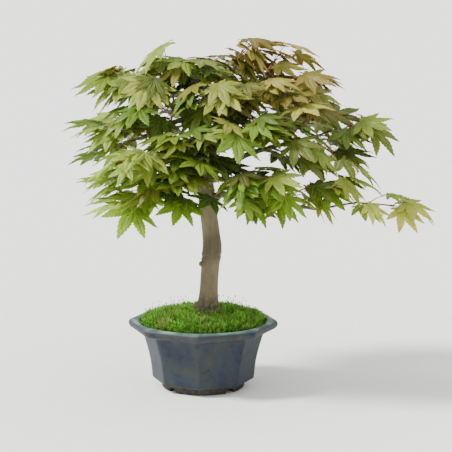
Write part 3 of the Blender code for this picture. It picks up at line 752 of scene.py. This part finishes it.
limb_paths = {name: limb_path(points) for name, points in LIMBS.items()}
limb_bark = bark("limb_bark", (0.060, 0.050, 0.028), (0.125, 0.105, 0.062), (0.075, 0.070, 0.034), 420)
for name, path in limb_paths.items():
    stems = [knotted(grown_in(path, 1.55, 7), name, 1.6, 0.5, 0.2, 17)]
    for twig, (parent, share, tip) in BARE_TWIGS.items():
        if parent == name:
            start, _, radius = along(path, share)
            middle = start.lerp(Vector(tip), 0.5) - UP
            line = [(*start, radius * 0.75), (*start.lerp(middle, 0.4), radius * 0.5),
                    (*middle, radius * 0.44), (*tip, radius * 0.3)]
            stems.append(knotted(line, twig, 1.6, 0.5, 0.35, 6))
    limb = stem_mesh(name + "_wood", stems, 14)
    bpy.ops.object.shade_smooth()
    finished(limb, limb_bark)
    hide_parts(name)

# ---------------------------------------------------------------------------------------------
# Thirty-nine leafy shoots grow from the limbs. This year's twigs are thin and turn red at the tips,
# and the leaves stand on red stalks in opposite pairs. Each leaf has seven toothed lobes, is
# creased along its veins and droops. Leaves in the sun are bronze or painted pale, as painted light;
# those inside are painted dark, as painted shade.
SHOOTS = {  # for each limb its shoots: the share of the limb's length, the tip, the pairs of leaves
    "limb_left_high": {
        "shoot_left_crown": (1.0, (-90, -12, 354), 2),
        "shoot_left_crown_front": (0.75, (-62, -40, 348), 2),
        "shoot_left_crown_back": (0.6, (-58, 34, 346), 2),
        "shoot_left_peak": (0.4, (-40, -6, 374), 2),
    },
    "limb_left_mid": {
        "shoot_left_shoulder": (1.0, (-94, -14, 298), 2),
        "shoot_left_shoulder_low": (0.8, (-92, 14, 272), 2),
        "shoot_left_shoulder_front": (0.6, (-62, -48, 312), 2),
    },
    "limb_left_low": {
        "shoot_left_hanging": (1.0, (-88, -24, 240), 2),
        "shoot_left_under": (0.85, (-72, -36, 216), 2),
        "shoot_left_near": (0.45, (-32, -44, 226), 1),
    },
    "limb_front_left": {
        "shoot_front_left": (1.0, (-72, -84, 272), 2),
        "shoot_front_left_low": (0.75, (-34, -74, 254), 2),
        "shoot_front_middle": (0.6, (-14, -78, 294), 2),
    },
    "limb_front_right": {
        "shoot_front_crown": (0.45, (4, -56, 336), 2),
        "shoot_front_right": (1.0, (84, -66, 296), 2),
        "shoot_front_right_tip": (0.75, (44, -82, 304), 2),
    },
    "limb_front_low": {
        "shoot_front_low": (1.0, (52, -88, 250), 2),
        "shoot_front_low_left": (0.65, (-6, -74, 270), 2),
    },
    "limb_right_low": {
        "shoot_right_near": (0.2, (30, -38, 222), 1),
        "shoot_right_under": (0.62, (96, -50, 226), 2),
        "shoot_right_tip": (1.0, (214, -14, 210), 1),
        "shoot_right_rise": (0.85, (148, -34, 236), 2),
    },
    "limb_right_mid": {
        "shoot_right_arm": (1.0, (166, -6, 296), 1),
        "shoot_right_arm_low": (0.85, (150, 14, 262), 2),
        "shoot_right_arm_back": (0.7, (126, 36, 306), 2),
        "shoot_right_arm_front": (0.55, (100, -36, 264), 2),
    },
    "limb_right_high": {
        "shoot_right_crown": (1.0, (98, -8, 346), 2),
        "shoot_right_crown_low": (0.8, (106, -34, 326), 2),
        "shoot_right_crown_front": (0.6, (52, -42, 342), 2),
        "shoot_right_peak": (0.75, (82, 12, 372), 2),
    },
    "limb_top": {
        "shoot_top": (1.0, (42, -2, 378), 2),
        "shoot_top_front": (0.4, (-4, -26, 366), 2),
        "shoot_top_back": (0.6, (10, 56, 354), 2),
    },
    "limb_back_left": {
        "shoot_back_left": (1.0, (-84, 74, 282), 2),
        "shoot_back_left_high": (0.7, (-34, 78, 306), 2),
        "shoot_back_left_low": (0.5, (-58, 44, 240), 2),
    },
    "limb_back_right": {
        "shoot_back_right": (1.0, (104, 68, 296), 2),
        "shoot_back_right_high": (0.6, (56, 66, 326), 2),
    },
    "limb_back": {
        "shoot_back": (1.0, (22, 106, 272), 2),
    },
}
STALK_RADIUS = 0.6
LEAF_LENGTHS = (38, 50)
STALK_LENGTHS = (18, 30)
DROOPS = (4, 46)  # degrees that the middle lobe points below the horizon
PAIR_PLACES = (0.97, 0.55)  # shares of the shoot's length
MORE_PAIRS = (0.78, 0.36, 0.18, 0.66, 0.90, 0.46)  # added where there is room between the others
LOBES = [(-78, 0.72), (-39, 0.92), (0, 1.0), (39, 0.92), (78, 0.72)]  # degrees, share of the middle one
NOTCH_SHARE = 0.38
HEEL_SHARE = 0.08
TIP_DROOP = 0.16
LEAF_TRIES = 40
ROOM = 0.35  # how much the space kept for a leaf is grown on each side, to look for others in its way
EXTRA_ROOM = 0.0
EXTRA_TRIES = 60
EXTRA_SIZES = (0.86, 0.72)
EXTRA_SHARE = 0.92  # how much of an added leaf's length is kept clear of others
EDGE_GAPS = 0.75  # share of the added leaves that are left out towards the crown's two sides
LEAF_LOBES = [(-122, 0.34), *LOBES, (122, 0.34)]
SINUS = 0.41
LOBE_WIDTH = 0.34
PALM_ROWS = 2
LOBE_ROWS = 15
LEAF_THICKNESS = 0.28 * MM
LEAF_SIZE = 0.93
LEAF_LIFT = math.radians(5)
LEAF_BEND = (0.08, 0.24)
LEAF_CURL = 0.06
LEAF_SWING = 0.10
MOST_GUARDS = 2000
CROWN_MIDDLE = Vector((14, 0, 272))
CROWN_HALF_SIZE = Vector((112, 100, 96))


def shoot_path(limb, share, tip):
    """A shoot's points, from the bark of its limb to its tip, a little arched."""
    start, limb_way, limb_radius = along(limb_paths[limb], share)
    reach = Vector(tip) - start
    way = (reach.normalized() + 0.25 * UP).normalized()
    if share < 1:
        start = start + way * clear_of_parent(way, limb_way, limb_radius, SHOOT_RADIUS)
    else:
        start = start + limb_way * (GAP + SHOOT_RADIUS)
    middle = (start + Vector(tip)) / 2 + UP * reach.length * 0.07
    radii = (SHOOT_RADIUS, SHOOT_RADIUS * 0.85, SHOOT_RADIUS * 0.7)
    return smooth([(*spot, radius) for spot, radius in zip((start, middle, Vector(tip)), radii)], 2)


def add_stem(bm, path, extra):
    """Adds a plain round stem to bm, grown by extra all round, a cone between each two points."""
    for a, b in zip(path, path[1:]):
        start, end = Vector(a[:3]), Vector(b[:3])
        turn = (end - start).to_track_quat("Z", "Y").to_matrix().to_4x4()
        bmesh.ops.create_cone(
            bm, cap_ends=True, segments=6, radius1=a[3] + extra, radius2=b[3] + extra,
            depth=(end - start).length, matrix=Matrix.Translation((start + end) / 2) @ turn,
        )


def add_blade(bm, frame, length, thickness):
    """Adds the plain shape of one leaf to bm: a flat cone whose rim runs over tips and notches."""
    outline = []
    for (angle, reach), (next_angle, next_reach) in zip(LOBES, LOBES[1:]):
        outline.append((angle, reach))
        outline.append(((angle + next_angle) / 2, NOTCH_SHARE * min(reach, next_reach)))
    outline += [LOBES[-1], (180, HEEL_SHARE)]
    made = bmesh.ops.create_cone(
        bm, cap_ends=True, cap_tris=True, segments=len(outline), radius1=1, radius2=0, depth=1
    )["verts"]
    middles = [v for v in made if v.co.xy.length < 0.5]
    rim = sorted((v for v in made if v not in middles), key=lambda v: math.atan2(v.co.x, v.co.y))
    for vert, (angle, reach) in zip(rim, outline):
        turn = math.radians(angle)
        vert.co = Vector((math.sin(turn), math.cos(turn), -TIP_DROOP * reach)) * reach * length
    for vert in middles:
        vert.co = (0, 0, math.copysign(thickness / 2, vert.co.z))
    bmesh.ops.transform(bm, matrix=frame, verts=made)


def guard(fill):
    """(search tree, lowest corner, highest corner) of the faces that fill(bm) makes."""
    bm = bmesh.new()
    fill(bm)
    places = np.array([vert.co for vert in bm.verts])
    tree = BVHTree.FromBMesh(bm)
    bm.free()
    return tree, places.min(0), places.max(0)


def in_the_way(new, guards):
    """Whether a new guard meets any of the others."""
    tree, low, high = new
    lows, highs = guard_corners[0][:len(guards)], guard_corners[1][:len(guards)]
    near = np.nonzero(((lows <= high) & (highs >= low)).all(1))[0]
    return any(tree.overlap(guards[i][0]) for i in near)


def keep_clear(new):
    """Adds a guard to those that later leaves keep clear of."""
    guard_corners[0][len(guards)], guard_corners[1][len(guards)] = new[1], new[2]
    guards.append(new)


def hold_leaf(spot, ahead, side, chance):
    """One way to hold a leaf: its stalk's two ends, its blade's frame and its length.

    The blade looks up at the sky, points away from the trunk and droops.
    """
    outward = Vector((spot.x - TRUNK[-1][0], spot.y, 0)).normalized()
    ahead = (ahead + 0.8 * outward).normalized()
    sideways = ahead.cross(UP).normalized()
    stalk = ahead + side * chance.uniform(0.4, 1.8) * sideways + UP * chance.uniform(-0.1, 0.7)
    end = spot + stalk.normalized() * chance.uniform(*STALK_LENGTHS)
    heading = Vector((stalk.x, stalk.y, 0)).normalized() + 0.6 * outward
    droop = math.radians(chance.uniform(*DROOPS))
    axis = heading.normalized() * math.cos(droop) - UP * math.sin(droop)
    face = (UP - axis * UP.dot(axis)).normalized()
    face = Matrix.Rotation(math.radians(chance.uniform(-30, 30)), 3, axis) @ face
    frame = Matrix((axis.cross(face), axis, face)).transposed().to_4x4()
    frame.translation = end
    return spot, end, frame, chance.uniform(*LEAF_LENGTHS)


def before_trunk(spot):
    """Whether a leaf there would hide the upper trunk, which the crown leaves in view."""
    return spot.y < 10 and abs(spot.x - 4) < 30 and spot.z < 264


def left_out(spot, chance):
    """Whether an added leaf is left out, to keep the crown's sides open."""
    return abs(spot.x - CROWN_MIDDLE.x) > 0.45 * CROWN_HALF_SIZE.x and chance.random() < EDGE_GAPS


def grow_leaves(name, places, first_pair, room, tries, size=1.0):
    """The leaves of a shoot, in opposite pairs, each held where no other leaf or stem is in its way."""
    grown = []
    for pair, share in enumerate(places, first_pair):
        spot, ahead, _ = along(shoot_paths[name], share)
        for side in (-1, 1):
            chance = random.Random(f"{name} {pair} {side}")
            if first_pair and left_out(spot, chance):
                continue
            for _ in range(tries):
                start, end, frame, length = hold_leaf(spot, ahead, side, chance)
                length *= size
                middle = frame @ Vector((0, length * 0.4, 0))
                if first_pair and before_trunk(middle):
                    continue

                def fill(bm):
                    add_blade(bm, frame, length * (EXTRA_SHARE if first_pair else 1), 1 + 2 * room)
                    add_stem(bm, [(*start.lerp(end, 0.3), STALK_RADIUS), (*end, STALK_RADIUS)], room)

                new = guard(fill)
                if not in_the_way(new, guards):
                    keep_clear(new)
                    grown.append((start, end, frame, length))
                    break
    return grown


def half_lobe(lobe, side, wave):
    """Rows across half a lobe, from its midrib out to its margin, as (x, y, across, along)."""
    angle, reach = LEAF_LOBES[lobe]
    beside = lobe + side
    if 0 <= beside < len(LEAF_LOBES):
        gap, other = abs(LEAF_LOBES[beside][0] - angle) / 2, LEAF_LOBES[beside][1]
        notch = SINUS * min(reach, other) if min(reach, other) > 0.5 else 0.2
    else:
        gap, notch = 180 - abs(angle), HEEL_SHARE * 0.8
    gap = math.radians(gap)
    notch_x, notch_y = notch * math.sin(gap), notch * math.cos(gap)
    turn = math.radians(angle)
    sine, cosine = math.sin(turn), math.cos(turn)
    rows = []
    for row in range(LOBE_ROWS + 1):
        if row < PALM_ROWS:
            share = row / PALM_ROWS
            edge_x, edge_y = notch_x * share, notch_y * share
            rib = max(notch_y, 0.05) * share * 0.9
        else:
            t = (row - PALM_ROWS) / (LOBE_ROWS - PALM_ROWS)
            tooth = (0.020 if row % 2 else -0.008) * reach * math.sin(math.pi * t) ** 0.5
            plump = LOBE_WIDTH * reach * t * (1 - t) ** 1.5 * (1 + 0.10 * wave)
            edge_x = notch_x * (1 - t) ** 1.2 + plump + tooth
            edge_y = notch_y + (reach - notch_y) * (t + (0.025 if row % 2 else 0) * (1 - t))
            rib = notch_y * 0.9 + (reach - notch_y * 0.9) * max(t * 1.02 - 0.03, 0) if t < 1 else reach
        row_points = []
        for column in range(3):
            across = column / 2
            x = side * edge_x * across
            y = rib + (edge_y - rib) * across
            crease = 0.045 * reach * (1 - abs(2 * across - 1)) * min(edge_x * 7, 1)
            place = (x * cosine + y * sine, y * cosine - x * sine, crease)
            row_points.append((*place, across, min(y / reach, 1)))
        rows.append(row_points)
    return rows


def leaf_shape(seed):
    """One flat leaf, a unit long: its places, faces, and each corner's share across and along."""
    places, faces, lobes = [], [], []
    for lobe in range(len(LEAF_LOBES)):
        for side in (-1, 1):
            first = len(places)
            rows = half_lobe(lobe, side, noise.noise(Vector((seed * 3.1, lobe * 1.7, side))))
            for row in rows:
                places += [point[:3] for point in row]
                lobes += [point[3:] for point in row]
            for row in range(len(rows) - 1):
                for column in range(2):
                    a = first + row * 3 + column
                    quad = (a, a + 1, a + 4, a + 3)
                    faces.append(quad if side > 0 else quad[::-1])
    return np.array(places), faces, np.array(lobes)


leaf_shapes = [leaf_shape(seed) for seed in range(4)]


def shaped_leaf(shape, frame, length, chance):
    """A leaf's places in metres: its shape drooped, its lobes each bent their own way, then placed."""
    flat, _, lobes = shape
    out = np.hypot(flat[:, 0], flat[:, 1])
    turn = np.arctan2(flat[:, 0], flat[:, 1])
    bend = chance.uniform(*LEAF_BEND)
    curl = sum(
        chance.uniform(-LEAF_CURL, LEAF_CURL) * np.cos(turn * waves + chance.uniform(0, 6.3))
        for waves in (1, 2, 3, 4.6)
    )
    ripple = 0.012 * np.sin(lobes[:, 1] * 14 + chance.uniform(0, 6.3)) * lobes[:, 0]
    swing = chance.uniform(-LEAF_SWING, LEAF_SWING)
    high = flat[:, 2] - bend * out ** 2 + curl * out ** 2.4 + ripple
    skew = flat[:, 0] * np.cos(swing * out) + flat[:, 1] * np.sin(swing * out)
    ahead = flat[:, 1] * np.cos(swing * out) - flat[:, 0] * np.sin(swing * out)
    wide = chance.uniform(0.9, 1.04)
    tipped = ahead * math.cos(LEAF_LIFT) - high * math.sin(LEAF_LIFT)
    high = high * math.cos(LEAF_LIFT) + ahead * math.sin(LEAF_LIFT)
    bent = np.stack([skew * wide, tipped, high], axis=1) * length * LEAF_SIZE
    matrix = np.array(frame)
    return (bent @ matrix[:3, :3].T + matrix[:3, 3]) * MM


def leaf_finish():
    """A thin leaf: green or bronze, paler along its veins, redder at its margins, and lit through, with
    painted light and painted shade from its place in the crown.
    """
    made, tree, shader, place = new_finish("maple_leaf", 0.44, 0.45)
    across, lengthwise, tone, bronze, shade = (
        add_node(tree, "ShaderNodeAttribute", {}, attribute_name=name).outputs["Fac"]
        for name in ("across", "along", "tone", "bronze", "shade")
    )
    # How far a leaf lies up these ramps, from dark to pale, is partly painted light.
    green = ramp(tree, tone, [
        (0.0, (0.022, 0.062, 0.002)), (0.3, (0.075, 0.185, 0.004)),
        (0.6, (0.210, 0.370, 0.012)), (1.0, (0.52, 0.66, 0.11)),
    ])
    warm = ramp(tree, tone, [
        (0.0, (0.11, 0.034, 0.006)), (0.5, (0.37, 0.180, 0.040)), (1.0, (0.62, 0.40, 0.09)),
    ])
    rim = reckon(tree, "MAXIMUM", rise(tree, across, 0.35, 1.0), rise(tree, lengthwise, 0.45, 1.0))
    rim = reckon(tree, "ADD", reckon(tree, "MULTIPLY", rim, 0.55), 0.45)
    blade = mix(tree, reckon(tree, "MULTIPLY", rim, bronze, use_clamp=True), green, warm)
    blade = spotted(tree, blade, cloud(tree, place, 130, 3), 0.4, 0.65, 0.3, (0.13, 0.19, 0.015))
    wave = reckon(tree, "ADD", lengthwise, reckon(tree, "MULTIPLY", across, -0.16))
    wave = reckon(tree, "SINE", reckon(tree, "MULTIPLY", wave, 62.0))
    side_veins = ramp(tree, wave, [(0.82, 0.0), (1.0, 0.5)])
    midrib = ramp(tree, across, [(0.0, 0.85), (0.16, 0.0)])
    veins = mix(tree, 1.0, midrib, side_veins, "LIGHTEN")
    blade = mix(tree, veins, blade, mix(tree, 0.6, blade, (0.55, 0.56, 0.26)))
    # Painted shade: the blade is multiplied by the leaf's shade, which is painted light above 1 for the
    # low leaves.
    blade = mix(tree, 1.0, blade, shade, "MULTIPLY")
    tree.links.new(blade, shader.inputs["Base Color"])
    bump(tree, shader, reckon(tree, "MULTIPLY", veins, -1.0), 0.0005, 0.7)
    glow = mix(tree, 0.35, blade, (0.30, 0.42, 0.03))
    through = add_node(tree, "ShaderNodeBsdfTranslucent", {"Color": glow})
    both = add_node(tree, "ShaderNodeMixShader", {0: 0.38, 1: shader.outputs[0], 2: through.outputs[0]})
    tree.links.new(both.outputs[0], tree.nodes["Material Output"].inputs["Surface"])
    return made


def twig_finish():
    """Young wood and stalks: dark brown at the base, red where they are this year's."""
    made, tree, shader, place = new_finish("red_twig", 0.5, 0.45)
    young = add_node(tree, "ShaderNodeAttribute", {}, attribute_name="tone").outputs["Fac"]
    skin = ramp(tree, young, [(0.0, (0.060, 0.046, 0.026)), (0.35, (0.11, 0.055, 0.026)),
                              (0.75, (0.17, 0.042, 0.020)), (1.0, (0.26, 0.060, 0.032))])
    specks = cloud(tree, place, 700, 3)
    skin = spotted(tree, skin, specks, 0.55, 0.7, 0.4, (0.07, 0.05, 0.03))
    tree.links.new(skin, shader.inputs["Base Color"])
    bump(tree, shader, specks, 0.0002, 0.6)
    return made


def leaf_colour(spot, chance):
    """How light and how bronze a leaf is, from its place in the crown, and how deep in painted shade."""
    inside = Vector(((spot.x - CROWN_MIDDLE.x) / CROWN_HALF_SIZE.x, 0.7 * spot.y / CROWN_HALF_SIZE.y,
                     (spot.z - CROWN_MIDDLE.z) / CROWN_HALF_SIZE.z))
    open_air = min(max(inside.length - 0.35, 0) / 0.6, 1)
    upper, lower, left = max(inside.z, -0.2), max(-inside.z, 0), max(-inside.x, -0.4)
    # Painted light: the tone rises out in the open, high up, low down, to the left and a little to the
    # right, as if lit; the random spread added next is the leaves' own variation.
    tone = 0.03 + 0.46 * open_air + 0.12 * upper + 0.24 * lower + 0.14 * left + 0.08 * max(inside.x, 0)
    tone += chance.gauss(0, 0.23)
    right_top = max(inside.z - 0.15, 0) * max(inside.x + 0.25, 0)
    bronze = 0.06 + right_top + 0.24 * max(upper - 0.3, 0) + 0.16 * max(inside.x, 0)
    bronze += chance.gauss(0, 0.22)
    # Painted shade darkens the leaves deep in the crown, and painted light brightens the low ones.
    shade = (0.30 + 0.70 * open_air) * (1 + 0.75 * lower)
    return min(max(tone, 0), 1), min(max(bronze, 0), 1), shade


def stalk_line(start, end, frame, length):
    """A leaf's stalk: a thin line that arches from the twig to just inside the blade's heel."""
    way = end - start
    arch = UP * way.length * 0.07
    _, axis, face = frame.to_3x3().col
    heel = end - axis * 0.01 * length - face * 0.25
    line = [(*(start - way * 0.02), 0.75), (*(start + way * 0.06), 0.62),
            (*(start.lerp(end, 0.35) + arch), 0.46), (*(start.lerp(end, 0.75) + arch * 0.7), 0.44),
            (*heel, 0.5)]
    return smooth(line, 2)


def leaves_mesh(name, leaves):
    """All of a shoot's leaves as one mesh object, thin but solid."""
    places, faces, values = [], [], {"across": [], "along": [], "tone": [], "bronze": [], "shade": []}
    count = 0
    for i, (start, end, frame, length) in enumerate(leaves):
        chance = random.Random(f"{name} leaf {i}")
        shape = leaf_shapes[chance.randrange(len(leaf_shapes))]
        tone, bronze, shade = leaf_colour(frame @ Vector((0, length * 0.5, 0)), chance)
        places.append(shaped_leaf(shape, frame, length, chance))
        faces += [tuple(corner + count for corner in face) for face in shape[1]]
        values["across"].append(shape[2][:, 0])
        values["along"].append(shape[2][:, 1])
        for key, value in (("tone", tone), ("bronze", bronze), ("shade", shade)):
            values[key].append(np.full(len(shape[0]), value))
        count += len(shape[0])
    mesh = bpy.data.meshes.new(name)
    mesh.from_pydata(np.concatenate(places).tolist(), [], faces)
    made = bpy.data.objects.new(name, mesh)
    bpy.context.collection.objects.link(made)
    for key, value in values.items():
        stored = mesh.attributes.new(key, "FLOAT", "POINT")
        stored.data.foreach_set("value", np.concatenate(value).astype(np.float32))
    only(made)
    bpy.ops.object.mode_set(mode="EDIT")
    bpy.ops.mesh.select_all(action="SELECT")
    bpy.ops.mesh.remove_doubles(threshold=0.02 * MM)
    bpy.ops.object.mode_set(mode="OBJECT")
    apply_modifier(made, "SOLIDIFY", thickness=LEAF_THICKNESS, offset=0, use_rim=True)
    bpy.ops.object.shade_smooth_by_angle(angle=math.radians(60))
    return made


shoot_paths, pair_counts = {}, {}
for limb, shoots in SHOOTS.items():
    for name, (share, tip, pairs) in shoots.items():
        shoot_paths[name], pair_counts[name] = shoot_path(limb, share, tip), pairs
guards, guard_corners = [], np.zeros((2, MOST_GUARDS, 3))
for path in (TRUNK, *limb_paths.values(), *shoot_paths.values()):
    keep_clear(guard(lambda bm: add_stem(bm, path, ROOM)))
crown = {
    name: grow_leaves(name, PAIR_PLACES[:count], 0, ROOM, LEAF_TRIES)
    for name, count in pair_counts.items()
}
for round_of_leaves, size in enumerate(EXTRA_SIZES, 1):
    for name in crown:
        crown[name] += grow_leaves(name, MORE_PAIRS, 10 * round_of_leaves, EXTRA_ROOM, EXTRA_TRIES, size)
leaf_green, twig_red = leaf_finish(), twig_finish()
for name, path in shoot_paths.items():
    lines = [knotted(grown_in(path, 1.5, 2.4), name, 1.8, 0.35, 0.35, 13)]
    lines += [stalk_line(*leaf) for leaf in crown[name]]
    wood = stem_mesh(name + "_wood", lines, 8)
    bpy.ops.object.shade_smooth()
    base, reach = Vector(path[0][:3]), (Vector(path[-1][:3]) - Vector(path[0][:3])).length
    lengthwise = [(vert.co / MM - base).length / reach for vert in wood.data.vertices]
    set_tone(wood, [min(share, 1) for share in lengthwise])
    wood.data.materials.append(twig_red)
    leaves = leaves_mesh(name + "_leaves", crown[name])
    leaves.data.materials.append(leaf_green)
    only(wood)
    leaves.select_set(True)
    bpy.ops.object.join()
    wood.data.transform(Matrix.Translation(pot_middle))
    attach(wood, "root")
    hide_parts(name)

# ---------------------------------------------------------------------------------------------
# The bonsai stands on a plain pale floor that runs back out of sight, in soft studio light: a broad
# key from the upper left and an even white surround.
FLOOR_SIZE = 60
KEY_STRENGTH = 5.6
KEY_WAY = (0.68, 0.14, -0.72)
SURROUND_STRENGTH = 1.3
CAMERA_SPOT = Vector((0.026, -2.33, 0.60))
CAMERA_AIM = Vector((0.026, 0, 0.185))
CAMERA_LENS = 167.4

bpy.ops.object.select_all(action="DESELECT")
bpy.ops.mesh.primitive_plane_add(size=FLOOR_SIZE, location=(0, 0, 0))
floor = bpy.context.object
floor.name = "pale_floor"
paper, _, paper_shader, _ = new_finish("floor_paper", 0.9, 0.1)
paper_shader.inputs["Base Color"].default_value = (0.93, 0.93, 0.92, 1)
floor.data.materials.append(paper)

bpy.ops.object.light_add(type="SUN", location=(-2, -1, 2))
key = bpy.context.object
key.name = "key_light"
key.data.energy = KEY_STRENGTH
key.data.angle = math.radians(14)
key.data.color = (1.0, 0.98, 0.95)
key.rotation_euler = Vector(KEY_WAY).to_track_quat("-Z", "Y").to_euler()
world = bpy.data.worlds.new("studio")
world.use_nodes = True
surround = world.node_tree.nodes["Background"]
surround.inputs["Color"].default_value = (1.0, 1.0, 1.0, 1)
surround.inputs["Strength"].default_value = SURROUND_STRENGTH
bpy.context.scene.world = world

camera_spot, camera_aim = pot_middle + CAMERA_SPOT, pot_middle + CAMERA_AIM
bpy.ops.object.camera_add(location=camera_spot)
camera = bpy.context.object
camera.rotation_euler = (camera_aim - camera_spot).to_track_quat("-Z", "Y").to_euler()
camera.data.lens = CAMERA_LENS
camera.data.sensor_width = 36
bpy.context.scene.camera = camera
